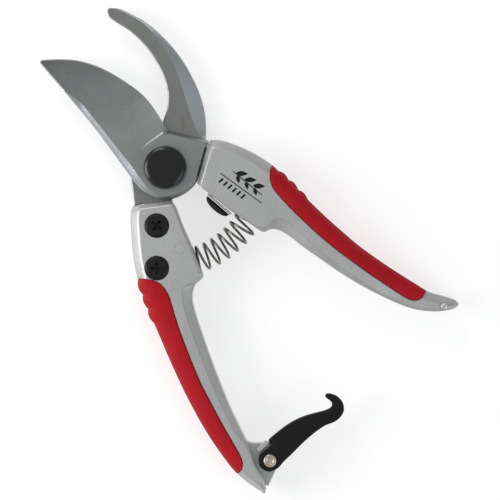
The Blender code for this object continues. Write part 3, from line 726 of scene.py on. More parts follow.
def handle_section(line, shrink):
    """Closed (d, z) outline of a handle, its corners softened, stepped in under the grip."""
    front, back = line["front"] - shrink, line["back"] + shrink
    grip = line["grip"] + GAP if line["grip"] else 0.0
    top, low = envelope(line, grip)
    top, low = top - shrink, low + shrink
    ridge = max(min(CHAMFER, 0.55 * line["width"]), grip)
    shelf = min(GRIP_SKIN + GAP, grip)
    sink = GRIP_SKIN + GAP if line["grip"] else 0.0
    rim_top, rim_low = envelope(line, line["grip"])
    step_top = max(min(rim_top, front) - sink, MID + 0.8) if sink else top
    step_low = min(max(rim_low, back) + sink, MID - 0.8) if sink else low
    bevel = min(line["bevel"], 0.45 * (line["width"] - ridge))
    # A fine step runs where the inner bevel leaves the face.
    step = 0.3 * min(1.0, bevel / 1.5)
    drop = min(step + 0.4 * bevel, 0.5 * (front - back) - 0.6)
    width = line["width"]
    inner = width - bevel
    lip = 0.35 if grip > CHAMFER else 0.9
    rim = 0.3 if grip else 0.8
    return fillet([
        (shelf, step_low, 0.2), (shelf, step_top, 0.2), (grip, step_top, 0.1), (grip, top, rim),
        (ridge, front, lip), (inner - 0.4 * step, front, 0.1), (inner + 0.4 * step, front - step, 0.1),
        (width, front - drop, 0.7),
        (width, back + drop, 0.7), (width - bevel, back, 0.6), (ridge, back, lip), (grip, low, rim),
        (grip, step_low, 0.1),
    ])


def grip_ends(side):
    """Lines across both ends of the grip, where its edge turns quickly."""
    first, last = side["grip"][0][0], side["grip"][-1][0]
    steps = (0.12, 0.3, 0.55, 0.9, 1.35, 1.9, 2.6, 3.4, 4.3, 5.2, 6.2, 7.2, 8.3, 9.5, 11.0, 12.5)
    out = [first + step for step in steps]
    return out + [last - step for step in (7.0, 5.4, 4.0, 3.0, 2.2, 1.5, 1.0, 0.6, 0.3, 0.12)]


def handle_body(name, side, head, nose):
    """The casting: head gives its slanted top, nose the lines round its inner corner."""
    first, last = side["grip"][0][0], side["grip"][-1][0]
    end = side["outer"][-1][0]
    places = set(nose + grip_ends(side) + [first - 0.05, last + 0.05, end - 0.5, end - 1.1, end - 1.8, end])
    for s in np.arange(18.5, end - 2.0, 1.5):
        if min(abs(s - p) for p in places) > 0.6:
            places.add(float(s))
    lines = [(station(side, a, b), shrink) for a, b, shrink in head]
    lines += [(station(side, s, s), 0.0) for s in sorted(places)]
    sections = [ring_in_place(side, line, handle_section(line, shrink)) for line, shrink in lines]
    return shape(name, loft(sections), paint)


def head_lines(outer, inner, steps):
    """Slanted lines over a handle's top, its edge rounded off."""
    rounding = ((0, 2.5), (0.14, 2.1), (0.5, 1.35), (1.4, 0.42), (1.7, 0.15), (2.0, 0.03), (2.3, 0.0))
    return [(outer + u, inner + u, shrink) for u, shrink in rounding] + [(a, b, 0.0) for a, b in steps]


hook_handle = handle_body(
    "hook_handle_cast", HOOK_SIDE,
    head_lines(10.8, 13.5, [(14.6, 16.6), (16.2, 17.6)]),
    [42.5, 43.2, 43.8, 44.4, 44.9, 45.3, 45.7, 46.0, 46.3, 46.6, 46.9, 47.2, 47.5, 47.9, 48.3, 48.8, 49.4, 50.0,
     50.8, 51.8],
)
blade_handle = handle_body(
    "blade_handle_cast", BLADE_SIDE,
    head_lines(11.2, 14.2, [(15.0, 17.0), (16.4, 17.8)]),
    [41.8, 42.6, 43.3, 43.9, 44.4, 44.9, 45.3, 45.7, 46.1, 46.5, 46.9, 47.3, 47.7, 48.2, 48.8, 49.4, 50.1, 50.9,
     51.8],
)

# Lug and stop pad for the catch, cast in one with the hook handle.
lug_outline = [
    (112, -4, 0), (115.5, 1.6, 0.8), (116.9, 8.0, 1.2), (122.5, 9.6, 2.0), (127.6, 7.4, 1.2),
    (133.4, 2.2, 0.4), (131, -2, 0),
]
lug_outline = [(*local(HOOK_AXIS, s, t), r) for s, t, r in lug_outline]
pad_centre = Vector(local(HOOK_AXIS, 117.3, 4.6))


def box_of(low, high, half):
    """The corners of a rectangle from low to high one way, and half to each side the other way."""
    return [(low, -half), (high, -half), (high, half), (low, half)]


pad_outline = [(*(pad_centre + Matrix.Rotation(math.radians(1), 2) @ Vector(c)), 0.6)
               for c in box_of(-2.6, 2.6, 0.9)]

# ---- tang slots, pockets and screw seats ----
tang_down = (Vector(SCREW_B) - Vector(SCREW_A)).normalized()
tang_side = Vector((-tang_down.y, tang_down.x))


def tang_spot(down, side):
    return tuple(Vector(SCREW_A) + tang_down * down + tang_side * side)


def on_arc(degrees, radius=SPRING_ARC_R, z=MID):
    """A spot on the arc that the spring follows."""
    a = math.radians(degrees)
    return Vector((radius * math.cos(a), radius * math.sin(a), z))


def pocket(degrees, inward):
    """A round recess that takes the spring's end, 3.6 mm deeper than the wire goes."""
    depth, behind = 14.0, 3.4
    a = math.radians(degrees)
    run = Vector((-math.sin(a), math.cos(a), 0.0)) * inward
    bm = bmesh.new()
    spot = Matrix.Translation(on_arc(degrees) - run * behind) @ run.to_track_quat("Z", "Y").to_matrix().to_4x4()
    bmesh.ops.create_cone(bm, cap_ends=True, segments=64, radius1=POCKET_R, radius2=POCKET_R, depth=depth,
                          matrix=spot)
    return tool(bm)


BLADE_SCREWS = [middle_of(f"blade_handle_screw_{k}")[0] for k in ("upper", "lower")]
hook_slot = [tang_spot(*p) for p in box_of(-20, 23.3, SLOT_HALF)]
blade_slot = [local(BLADE_AXIS, s, BLADE_TANG_T + t) for s, t in box_of(2, 44.3, SLOT_HALF)]
# The tang slots, pin hole, pocket, mould mark (a ring and a dot), screw holes and their seats.
carve(
    hook_handle,
    drill(PIN_PLACE, 5.4, LUG_Z[1] + 0.1, 17.0),
    drill(PIN_PLACE, PIN_HOLE_R, 2.0, 12.0),
    tool(slab(hook_slot, [(3.9, 0), (BLADE_BACK, 0)])),
    pocket(SPRING_START, -1.0),
    tool(turned([(2.1, 15.93), (2.3, 15.93), (2.45, 16.5), (1.95, 16.5)], (-16.2, -28.4))),
    drill((-19.0, -37.9), 0.3, 15.8, 16.5, steps=12),
    *[drill(p, SCREW_HOLE_R, 1.3, 20.0) for p in (SCREW_A, SCREW_B)],
    *[drill(p, HEAD_SEAT_R, 14.3, 16.35, 0.35) for p in (SCREW_A, SCREW_B)],
    add=(tool(slab(rounded(lug_outline), edge_levels(*LUG_Z, 0.4, 0.4))),
         tool(slab(rounded(pad_outline), edge_levels(LUG_Z[1] - 1.0, 13.4, 0, 0.35)))),
)
carve(
    blade_handle,
    tool(slab(blade_slot, [(HOOK_FACE, 0), (12.5, 0)])),
    pocket(SPRING_END, 1.0),
    drill(NIB_PLACE, 1.38, 6.0, 12.0),
    *[drill(p, SCREW_HOLE_R, -3.0, 14.2) for p in BLADE_SCREWS],
    *[drill(p, HEAD_SEAT_R, -3.0, 2.5) for p in BLADE_SCREWS],
)
put(hook_handle, "hook_side", "hook_handle", slot="cast_handle")
put(blade_handle, "blade_side", "blade_handle", slot="cast_handle")


# ---- grips ----
BUMPS = 3
BUMP_HEIGHT = 0.8


def grip_bump(side, s):
    first, last = side["bumps"]
    if not first < s < last:
        return 0.0
    return BUMP_HEIGHT * abs(math.sin(BUMPS * math.pi * (s - first) / (last - first)))


def grip_section(side, line):
    """Closed C-shaped (d, z) outline of the soft grip round the handle's outside."""
    width = line["grip"]
    lump = grip_bump(side, line["s"])
    half = 0.5 * (line["front"] - line["back"])
    middle = 0.5 * (line["front"] + line["back"])
    outside = []
    for k in range(17):
        share = 1.0 - k / 16
        d = width * share * share
        u = min(d / 6.0, 1.0)
        height = (half + GRIP_PROUD) * math.sqrt(1 - (1 - u) ** 2) ** 0.6
        height = max(height, 0.35 * half * (1 - share))
        outside.append([d - lump * (1 - min(d / 4.0, 1.0)), height])
    outside[-1][1] = 0.42 * half
    outside[-2][1] = max(outside[-2][1], 0.47 * half)
    lip = min(0.3, 0.3 * width)
    top = outside[0][1]
    outside = [[width, top - lip], [width - lip * 0.3, top - lip * 0.3]] + [
        [min(d, width - lip), h] for d, h in outside]
    top = envelope(line, width)[0] - GRIP_SKIN
    top = min(top, middle + outside[0][1] - 0.8)
    shelf = min(GRIP_SKIN, 0.85 * width)
    inside_top = max(min(top, line["front"] - GRIP_SKIN), MID + 1.1 + GAP)
    low = min(max(2 * middle - inside_top, line["back"] + GRIP_SKIN), MID - 1.1 - GAP)
    ring = [(d, middle + h) for d, h in outside]
    ring += [(d, middle - h) for d, h in reversed(outside)]
    return ring + [(width, low), (shelf, low), (shelf, inside_top), (width, inside_top)]


def handle_grip(name, side):
    first, last = side["grip"][0][0], side["grip"][-1][0]
    start, stop = side["bumps"]
    pitch = (stop - start) / BUMPS
    places = set(grip_ends(side)) | {stop, start}
    for k in range(BUMPS):
        places |= {start + pitch * (k + u) for u in (0.0, 0.04, 0.1, 0.2, 0.32, 0.5, 0.68, 0.8, 0.9, 0.96)}
    for s in np.arange(stop + 1.0, last - 7.5, 1.6):
        places.add(float(s))
    places = sorted(s for s in places if first + 0.1 < s < last - 0.1)
    places = [s for k, s in enumerate(places) if k == 0 or s - places[k - 1] > 0.1]
    sections = []
    for s in places:
        line = station(side, s, s)
        sections.append(ring_in_place(side, line, grip_section(side, line)))
    return shape(name, loft(sections), rubber, angle=50.0)


put(handle_grip("hook_grip_soft", HOOK_SIDE), "hook_side", "hook_handle_grip", slot="soft_grip")
put(handle_grip("blade_grip_soft", BLADE_SIDE), "blade_side", "blade_handle_grip", slot="soft_grip")

# ---- hook blade ----
HOOK_OUTER = [
    (24.6, 63.3), (27.2, 60.3), (29.7, 54.7), (31.7, 49.0), (32.9, 42.1), (33.3, 35.0), (32.9, 28.0),
    (31.6, 21.3), (29.8, 14.8), (27.3, 9.0), (24.2, 3.9), (20.6, -0.6),
]
HOOK_INNER = [
    (21.95, 62.7), (21.6, 60.8), (22.6, 57.0), (24.3, 51.7), (25.1, 45.7), (25.1, 40.2), (24.3, 34.2),
    (23.0, 28.9), (21.1, 24.5), (18.8, 21.0), (15.6, 17.8), (11.0, 15.0),
]
HOOK_BEVEL = [
    (0, 0.6), (1, 0.9), (2, 1.0), (3, 1.4), (4, 2.5), (5, 3.6), (6, 4.5), (7, 5.5), (8, 6.6), (9, 7.0),
    (10, 6.0), (11, 3.0),
]
hook_outer = smooth_path(HOOK_OUTER, 6)
hook_inner = smooth_path(HOOK_INNER, 6)


def bevel_width(k):
    return smooth_at(HOOK_BEVEL, k)


bevel_line = [p + (q - p).normalized() * min(bevel_width(k / 6), 0.8 * (q - p).length)
              for k, (p, q) in enumerate(zip(hook_outer, hook_inner))]
bevel_line.append(bevel_line[-1] + (bevel_line[-1] - bevel_line[-2]).normalized() * 7)
hook_plate = [(20.4, -1.0), (17.0, -3.4), (12.4, -2.6), (10.4, -7.4), (6.4, -11.0), (0.0, -12.2), (-5.9, -11.2)]
hook_tang = [
    (-7.3, -12.4), tang_spot(-10.6, TANG_HALF), tang_spot(23.0, TANG_HALF), tang_spot(23.0, -TANG_HALF),
    tang_spot(-9.0, -TANG_HALF), (-19.4, -3.5), (-16.0, 1.6), (-13.0, 6.6), (-8.6, 9.8), (0, 13.2), (8.0, 13.4),
]
tip = [Vector((22.7, 63.4)), Vector((23.6, 63.65))]
hook_outline = tip + hook_outer + smooth_path(hook_plate, 4)[1:] + [Vector(p) for p in hook_tang]
hook_outline += [Vector((10.2, 14.2))] + hook_inner[::-1][1:]


def hook_height(points):
    out_gap = gap_to(points, hook_outer)
    in_gap, place = distance_to(points, bevel_line)
    fall = np.array([min(0.9 + 0.35 * bevel_width(min(k / 6, 11)), 2.4) for k in place])
    share = np.where(side_of(points, bevel_line) > 0, in_gap / (in_gap + out_gap + 1e-6), 0)
    rim = gap_to(points, hook_outline, True)
    return HOOK_FACE - fall * share - 0.25 * np.clip(1 - rim / 0.4, 0, 1) ** 2


def paint_faces(made, test):
    """Gives faces the second material; test takes their middles in plan, in mm, and how far they face up."""
    mesh = made.data
    middles = np.array([tuple(p.center) for p in mesh.polygons]) / MM
    chosen = test(middles[:, :2], np.array([p.normal.z for p in mesh.polygons]))
    for k in np.nonzero(chosen)[0]:
        mesh.polygons[int(k)].material_index = 1


hook_blade = shape("hook_blade_plate", relief(hook_outline, [bevel_line], hook_height, PLATE_BACK, 1.1),
                   hook_face, hook_bevel, angle=14.0)
paint_faces(hook_blade, lambda spots, up: (
    (up > 0.5) & (side_of(spots, bevel_line) > 0) & (gap_to(spots, hook_outer) < 7.2)))
carve(
    hook_blade,
    drill((0, 0), BORE_R, 0.0, 20.0),
    drill((0, 0), WASHER_R, 7.05, 12.0),
    *[drill(p, SCREW_HOLE_R, 0.0, 20.0) for p in (SCREW_A, SCREW_B)],
    angle=14.0,
)
put(hook_blade, "hook_side", "hook_blade", slot="hook_steel")

# ---- cutting blade ----
BLADE_SPINE = [(-11.5, 63.6), (-11.5, 57.0), (-11.35, 50.0)]
# The spine's outer line goes on round the boss to the handle.
SPINE_LOW = [
    (-11.35, 50.0), (-11.4, 39.0), (-11.5, 30.6), (-12.0, 21.3), (-12.6, 12.8), (-12.95, 6.8), (-13.1, 2.5),
    (-12.75, -1.5), (-11.4, -5.6), (-9.6, -8.3), (-6.9, -10.7), (-3.4, -12.3), (0.4, -13.0), (3.4, -12.9),
    (5.7, -12.4),
]
BLADE_EDGE = [
    (-10.3, 64.7), (-4.0, 59.9), (1.6, 54.2), (6.5, 46.0), (10.2, 35.5), (11.9, 26.0), (11.2, 17.0),
    (10.2, 11.2),
]
spine = smooth_path(BLADE_SPINE + SPINE_LOW[1:], 6)
edge = smooth_path(BLADE_EDGE, 8)
seam_top = local(BLADE_AXIS, 10.8, 17.4)
seam_low = local(BLADE_AXIS, 13.8, 1.2)
BOSS_CORNER = (10.6, 10.5)
shoulder = [(*seam_top, 0.4)]
shoulder += [(*local(BLADE_AXIS, s, BLADE_TANG_T + t), r) for s, t, r in (
    (12.0, TANG_HALF, 0), (44.0, TANG_HALF, 1.5), (44.0, -TANG_HALF, 1.5), (14.4, -TANG_HALF, 0))]
blade_outline = [(p.x, p.y, 0) for p in edge] + [(*BOSS_CORNER, 0.5)] + shoulder + [(*seam_low, 0.3)]
blade_outline += [(p.x, p.y, 0) for p in spine[::-1]] + [(-11.3, 64.5, 0.4)]
blade_outline = rounded(blade_outline)
# The land beside the spine strip runs up to where the hollow grind starts.
GRIND = [
    (-11.5, 64.2), (-11.5, 57.0), (-11.0, 49.3), (-9.1, 41.2), (-8.2, 38.9), (-6.3, 31.1), (-5.5, 22.0),
    (-5.9, 15.6), (-5.4, 11.8),
]
HEEL = [(-5.4, 11.8), (1.5, 11.5), (9.9, 10.9)]
STRIP = [
    (-11.0, 49.3), (-10.1, 45.2), (-9.1, 40.9), (-9.2, 35.0), (-9.3, 29.5), (-9.7, 15.6), (-9.85, 9.4),
    (-10.4, 2.6), (-10.45, -1.9), (-9.9, -5.2), (-8.8, -7.3), (-6.9, -9.2), (-2.0, -11.2), (3.4, -11.7),
    (5.6, -11.6), (7.4, -12.6),
]
STRIP_TOP, STRIP_LOW = 50, -7.4  # the bright strip is between these, along Y
EDGE_LOW = 34  # the bright cutting edge is above this
outer_strip = smooth_path(SPINE_LOW, 6)
inner_strip = smooth_path(STRIP, 6)
grind_line = smooth_path(GRIND, 6)
heel_line = smooth_path(HEEL, 6)


def blade_height(points):
    y = points[:, 1]
    from_edge = gap_to(points, edge)
    from_grind = gap_to(points, grind_line)
    ground = (side_of(points, grind_line + heel_line[1:]) > 0) | (y > STRIP_TOP - 0.5)
    # The grind falls evenly to the cutting edge, eased in where it leaves the land.
    share = np.clip(from_edge / (from_edge + from_grind + 1e-6), 0, 1)
    eased = np.where(share < 0.75, 1.143 * share, 1 - 2.286 * (1 - share) ** 2)
    # Towards the tip the blade is narrower, and its spine thinner.
    narrow = (from_edge + from_grind) / 12.0
    narrow = narrow / (1 + narrow ** 8) ** 0.125
    low = 8.9 + 1.6 * np.clip((y - 40) / 24, 0, 1) ** 1.5
    hollow = low + (BOSS_FACE - low) * narrow * eased
    # The wheel's run-out climbs back to the boss, and ends in a fine ridge.
    heel = gap_to(points, heel_line)
    run_out = (BOSS_FACE - hollow) * np.clip(1 - heel / 17.0, 0, 1) ** 1.15
    ridge = np.minimum(0.2, 0.3 * (BOSS_FACE - hollow)) * np.clip(heel / 0.6, 0, 1)
    fade = np.clip(1 - heel / 6.0, 0, 1)
    z = np.where(ground, hollow + run_out - ridge * fade, BOSS_FACE)
    # The spine strip slopes off at the outside.
    out_gap, in_gap = gap_to(points, outer_strip), gap_to(points, inner_strip)
    in_strip = (side_of(points, inner_strip) < 0) & (y < STRIP_TOP)
    width = in_gap + out_gap
    z = z - np.where(in_strip, in_gap / (width + 1e-6), 0) * np.minimum(0.75 * width, 2.0)
    # Front edge of the boss: a steep band, then a broad rounding.
    top_edge = gap_to(points, [BOSS_CORNER, seam_top])
    z = z - 2.0 * np.clip(1 - top_edge / 1.3, 0, 1)
    z = z - 0.7 * np.clip((2.9 - np.maximum(top_edge, 1.3)) / 1.6, 0, 1) ** 1.6
    z = z - 0.7 * np.clip(1 - gap_to(points, [seam_top, seam_low]) / 0.9, 0, 1)
    rim = gap_to(points, blade_outline, True)
    z = z - 0.25 * np.clip(1 - rim / 0.4, 0, 1) ** 2 * (from_edge > 0.6)
    return np.maximum(z, BLADE_BACK + 0.08)


def beside(a, b, gaps):
    """Lines beside the one from a to b, to its right, at these gaps."""
    a, b = Vector(a), Vector(b)
    run = (b - a).normalized()
    inward = Vector((run.y, -run.x))
    return [[a + inward * gap, b + inward * gap] for gap in gaps]


boss_steps = beside(BOSS_CORNER, seam_top, (0.65, 1.3, 1.7, 2.1, 2.5, 2.9))
seams = beside(seam_top, seam_low, (-0.9, -0.45, 0.0, 0.45, 0.9))
heel_step = [p + Vector((0.02, 0.6)) for p in heel_line]
blade_lines = [grind_line, heel_line, heel_step, inner_strip, *boss_steps, *seams]
cutting_blade = shape(
    "cutting_blade_plate", relief(blade_outline, blade_lines, blade_height, BLADE_BACK, 1.0),
    blade_face, blade_bright, angle=16.0)
paint_faces(cutting_blade, lambda spots, up: (
    (side_of(spots, inner_strip) < 0) & (spots[:, 1] < STRIP_TOP) & (spots[:, 1] > STRIP_LOW) & (up > 0.3)
    & (gap_to(spots, outer_strip) < 3.2)))
paint_faces(cutting_blade, lambda spots, up: (gap_to(spots, edge) < 0.42) & (up > 0.2) & (spots[:, 1] > EDGE_LOW))
carve(
    cutting_blade,
    drill((0, 0), BORE_R, 0.0, 20.0),
    drill((0, 0), WASHER_R, 5.0, 8.6),
    *[drill(p, SCREW_HOLE_R, 0.0, 20.0) for p in BLADE_SCREWS],
    angle=16.0,
)
put(cutting_blade, "blade_side", "cutting_blade", slot="cutting_blade_steel")

# ---- pivot cap ----
CAP = [
    (6.95, 12.5), (8.5, 12.5), (8.58, 12.6), (8.6, 12.9), (8.56, 13.4), (8.46, 13.7), (8.4, 14.0), (8.36, 15.4),
    (8.35, 15.8), (8.31, 16.2), (8.22, 16.55), (8.08, 16.83), (7.88, 17.03), (7.6, 17.22), (7.3, 17.4),
    (7.08, 17.53), (6.92, 17.585), (6.75, 17.6), (6.0, 17.6), (0, 17.6), (0, 16.8), (6.95, 16.8),
]
CAP_FACE_R = 6.8
pivot_cap = shape("pivot_cap_moulded", turned(CAP, CAP_PLACE, 96), cap_black, cap_rim, angle=40.0)
paint_faces(pivot_cap, lambda spots, up: np.hypot(*(spots - CAP_PLACE).T) > CAP_FACE_R)
put(pivot_cap, "hook_side", "pivot_cap", slot="black_cap")


# ---- screws ----
def screw(piece, place, top, foot, up, look_of, body, slot, angle):
    """A pan-head screw with a cross recess. up is 1 for one driven from the front, -1 from the back."""
    seat = top - up * 1.7
    profile = [(0, foot), (1.9, foot), (1.9, seat), (HEAD_R, seat), (HEAD_R, top - up * 0.9)]
    for k in range(1, 9):
        a = math.pi / 2 * k / 8
        radius = HEAD_R - 1.0 * (1 - math.cos(a)) - 0.2 * (k / 8) ** 2
        profile.append((radius, top - up * (0.9 - 0.9 * math.sin(a) * 0.86)))
    profile += [(2.6, top - up * 0.03), (0, top)]
    side, end = piece
    made = shape(f"{side}_screw_head_{end}", turned(profile, place, 64), look_of)
    cutters = []
    for quarter in (angle, angle + 90.0):
        turn = Matrix.Rotation(math.radians(quarter), 2)
        rings = []
        for z, length, width in ((top + up * 0.5, 2.65, 0.62), (top - up * 0.45, 2.2, 0.46),
                                 (top - up * 1.3, 1.0, 0.34)):
            rings.append([(*(Vector(place) + turn @ Vector(c)), z) for c in box_of(-length, length, width)])
        cutters.append(tool(loft(rings)))
    carve(made, *cutters)
    put(made, body, f"{side}_handle_screw_{end}", slot=slot)


for place, end, angle in ((SCREW_A, "upper", 14.0), (SCREW_B, "lower", 52.0)):
    screw(("hook", end), place, SCREW_TOP, SCREW_FOOT, 1.0, screw_black, "hook_side", "black_oxide", angle)
for place, end, angle in zip(BLADE_SCREWS, ("upper", "lower"), (33.0, 71.0)):
    screw(("blade", end), place, 0.5, 13.6, -1.0, zinc, "blade_side", "zinc", angle)

# ---- catch ----
LEVER = [
    (-46.5, -113.3), (-47.5, -115.7), (-46.2, -119.0), (-42.8, -120.3), (-38.6, -119.8), (-34.9, -119.6),
    (-29.4, -119.1), (-23.7, -118.9), (-17.8, -119.3), (-13.3, -120.7), (-10.1, -120.7), (-7.5, -119.5),
    (-5.9, -116.7), (-6.1, -113.4), (-7.5, -111.0), (-8.7, -110.1), (-9.8, -110.8), (-9.3, -113.5),
    (-9.9, -114.9), (-11.3, -115.3), (-13.9, -114.5), (-17.0, -113.0), (-21.1, -111.2), (-25.7, -109.9),
    (-30.7, -109.3), (-35.8, -109.2), (-38.3, -109.5), (-38.5, -111.4), (-40.2, -111.8), (-44.6, -111.7),
]
lever_line = smooth_path(LEVER[-3:] + LEVER[:-3] + LEVER[-3:-2], 4)[:-1]
catch_lever = shape("catch_lever_plate", slab(lever_line, edge_levels(11.0, 14.0, 0.5, 0.75, 5)), lever_black,
                    angle=40.0)
carve(catch_lever, drill(PIN_PLACE, PIN_HOLE_R, 8.0, 18.0), angle=40.0)
put(catch_lever, "catch", "catch_lever", slot="catch_paint")
pin = [
    (0, PIN_LOW), (2.5, PIN_LOW), (2.6, 3.8), (2.6, 4.7), (1.6, 4.7), (1.6, 14.05), (2.5, 14.05), (2.6, 14.2),
    (2.6, 14.6), (2.5, 14.9), (2.25, 15.1), (1.9, 15.2), (1.45, 15.15), (1.25, 14.98), (1.05, 14.9),
    (0.6, 14.95), (0, 15.0),
]
rivet = shape("catch_pin_rivet", turned(pin, PIN_PLACE, 64), rivet_steel, angle=40.0)
put(rivet, "hook_side", "catch_pin", slot="rivet")
nib = [(0, NIB_LOW), (1.3, NIB_LOW), (1.3, NIB_TOP - 0.4), (1.22, NIB_TOP - 0.15), (1.0, NIB_TOP), (0, NIB_TOP)]
put(shape("catch_nib_pin", turned(nib, NIB_PLACE, 40), zinc, angle=40.0), "blade_side", "catch_nib", slot="zinc")

# ---- bumper ----
edge_along = heading(BLADE_AXIS - 14.6)
edge_out = Vector((edge_along.y, -edge_along.x))
edge_mid = Vector(local(BLADE_AXIS, 25.2, -2.5))


def beside_edge(along, out):
    return tuple(edge_mid + edge_along * along + edge_out * out)


seat = [(*beside_edge(a, o), 0.3) for a, o in ((-5.2, 0.5), (6.9, 0.5), (6.9, 1.35), (-5.2, 1.35))]
put(shape("bumper_seat_strip", slab(rounded(seat, 3), edge_levels(3.2, 12.8, 0.2, 0.2, 3)), zinc),
    "blade_side", "bumper_plate", slot="zinc")
pad = [beside_edge(0.7 + 5.6 * math.cos(a), 1.6 + 2.55 * math.sin(a) ** 0.8) for a in
       (math.pi * k / 28 for k in range(29))]
put(shape("bumper_pad", slab(pad, edge_levels(3.6, 12.4, 0.5, 0.7, 4)), bumper_black, angle=40.0),
    "blade_side", "bumper", slot="bumper_rubber")

# ---- return spring ----
SPRING_STEPS = int(SPRING_TURNS * 48)
WIRE_SIDES = 12
cores, line = [], []
for k in range(SPRING_STEPS + 1):
    share = k / SPRING_STEPS
    degrees = SPRING_START + (SPRING_END - SPRING_START) * share
    turn = 2 * math.pi * SPRING_TURNS * share + 2.95
    cores.append(on_arc(degrees))
    line.append(on_arc(degrees, SPRING_ARC_R + SPRING_COIL_R * math.cos(turn),
                       MID - SPRING_COIL_R * math.sin(turn)))
rings = []
for k, spot in enumerate(line):
    run = (line[min(k + 1, SPRING_STEPS)] - line[max(k - 1, 0)]).normalized()
    outward = (spot - cores[k]).normalized()
    outward = (outward - run * outward.dot(run)).normalized()
    aside = run.cross(outward)
    rings.append([spot + (outward * math.cos(v) + aside * math.sin(v)) * SPRING_WIRE_R
                  for v in (2 * math.pi * n / WIRE_SIDES for n in range(WIRE_SIDES))])
spring = as_object("return_spring_wire", loft(rings), [spring_steel], 50.0)
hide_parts("return_spring")
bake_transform(spring)


# ---- printed mark ----
def flat_mark(name, strokes):
    """Thin printed shapes on the blade handle's front; each stroke is an outline of (s, t)."""
    bm = bmesh.new()
    for stroke in strokes:
        rings = []
        for lift in (-0.02, 0.02):
            rings.append([bm.verts.new((*local(BLADE_AXIS, s, t), smooth_at(BLADE_SIDE["front"], s) + lift))
                          for s, t in stroke])
        skin(bm, rings)
    return shape(name, bm, print_black)


def bar(a, b, half):
    a, b = Vector(a), Vector(b)
    side = (b - a).normalized()
    side = Vector((-side.y, side.x)) * half
    return [a + side, a - side, b - side, b + side]


def leaf(base, degrees, length, width):
    run = heading(degrees)
    side = Vector((-run.y, run.x))

    def side_at(k, way):
        u = k / 10
        return Vector(base) + run * (length * u) + side * (way * width * math.sin(math.pi * u ** 0.8))

    return [side_at(k, 1.0) for k in range(11)] + [side_at(k, -1.0) for k in range(9, 0, -1)]


def by_rule(along, up):
    """A spot by the printed rule: mm along it, and mm to the outside of it."""
    return Vector((20.8, 7.5)) + Vector((0.985, -0.173)) * along + Vector((0.173, 0.985)) * up


rule = bar(by_rule(0, 0), by_rule(20.2, 0), 0.2)
sprig = [bar(by_rule(3.6, 3.6), by_rule(18.4, 2.6), 0.2)]
for along in (5.0, 9.2, 13.4):
    sprig.append(leaf(by_rule(along, 3.5), 24, 4.9, 1.0))
    sprig.append(leaf(by_rule(along + 0.9, 3.2), -50, 3.3, 0.78))
bars = [bar(by_rule(2.2 + 2.15 * k, -1.1), by_rule(1.7 + 2.15 * k, -3.3), 0.42) for k in range(6)]
put(flat_mark("printed_sprig", sprig + [rule] + bars), "blade_side", slot="catch_paint")

# ---- the CAD nodes that stay ----
for name, material in (
    ("pivot_bolt", zinc), ("pivot_back_washer", zinc), ("pivot_friction_washer", rivet_steel),
    ("pivot_washer", zinc), ("pivot_spring_washer", screw_black), ("pivot_nut", zinc), ("catch_washer", zinc),
):
    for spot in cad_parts[name].material_slots:
        spot.material = material

# ---- floor, light and camera ----
floor_look = look("pale_floor", (0.42, 0.42, 0.42), 0.0, 0.8)
floor_shader = floor_look.node_tree.nodes["Principled BSDF"]
floor_shader.inputs["Emission Color"].default_value = (1, 1, 1, 1)
floor_shader.inputs["Emission Strength"].default_value = 0.6
bm = bmesh.new()
bmesh.ops.create_grid(bm, x_segments=2, y_segments=2, size=1500.0)
floor = shape("floor", bm, floor_look)
floor.location.z = cad_low.z - 0.0002
floor.visible_shadow = False
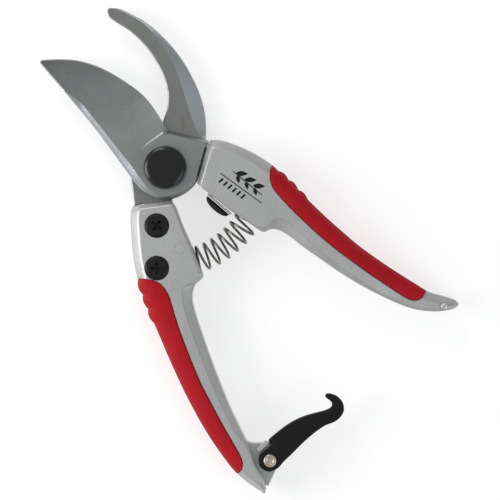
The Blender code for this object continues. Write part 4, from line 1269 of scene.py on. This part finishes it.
# Seen from below, the floor is clear, so that the shears' back can be looked at.
behind = node(floor_look, "NewGeometry").outputs["Backfacing"]
clear = node(floor_look, "BsdfTransparent").outputs[0]
choose = node(floor_look, "MixShader", (0, behind), (1, floor_shader.outputs[0]), (2, clear))
floor_look.node_tree.links.new(choose.outputs[0], floor_look.node_tree.nodes["Material Output"].inputs["Surface"])

world = bpy.data.worlds.new("studio")
bpy.context.scene.world = world
world.use_nodes = True
background = world.node_tree.nodes["Background"].inputs
background["Color"].default_value = (0.97, 0.985, 1.0, 1)
split = node(world, "SeparateXYZ", ("Vector", node(world, "TexCoord").outputs["Generated"]))
fade = span(world, split.outputs["Z"], 0.20, 0.62, 0.0, 0.9)
world.node_tree.links.new(fade, background["Strength"])

# The lamps are placed as the photograph shows right and up, and point at the shears' middle.
LAMP_AIM = Vector((0, -0.03, 0))
PHOTO_UP = heading(50).to_3d()
PHOTO_RIGHT = Vector((PHOTO_UP.y, -PHOTO_UP.x, 0))


def lamp(name, right, up, height, size, power, colour=(1, 1, 1)):
    data = bpy.data.lights.new(name, "AREA")
    data.shape = "DISK"
    data.size = size
    data.energy = power
    data.color = colour
    made = bpy.data.objects.new(name, data)
    made.location = PHOTO_RIGHT * right + PHOTO_UP * up + Vector((0, LAMP_AIM.y, height))
    made.rotation_euler = (LAMP_AIM - made.location).to_track_quat("-Z", "Y").to_euler()
    bpy.context.scene.collection.objects.link(made)


lamp("key", -0.85, -0.05, 0.45, 0.7, 6.6, (1.0, 0.99, 0.97))
lamp("top", -0.32, 0.82, 0.5, 0.5, 2.8)
lamp("fill", 0.7, -0.5, 0.6, 0.8, 2.2, (0.93, 0.96, 1.0))
lamp("below", -0.3, 0.3, -0.8, 1.0, 9.0)

camera = bpy.data.objects.new("camera", bpy.data.cameras.new("camera"))
# The photograph's frame is 200 mm wide at the handles' middle, 742 mm from the camera.
SENSOR, CAMERA_AWAY, FRAME_WIDTH = 36.0, 742.0, 200.0
camera.data.sensor_width = SENSOR
camera.data.lens = SENSOR * CAMERA_AWAY / FRAME_WIDTH
camera.location = (0.00475, -0.0468, 0.75)
camera.rotation_euler = (0, 0, math.radians(-40.0))
bpy.context.scene.collection.objects.link(camera)
bpy.context.scene.camera = camera
bpy.context.scene.view_settings.view_transform = "Standard"
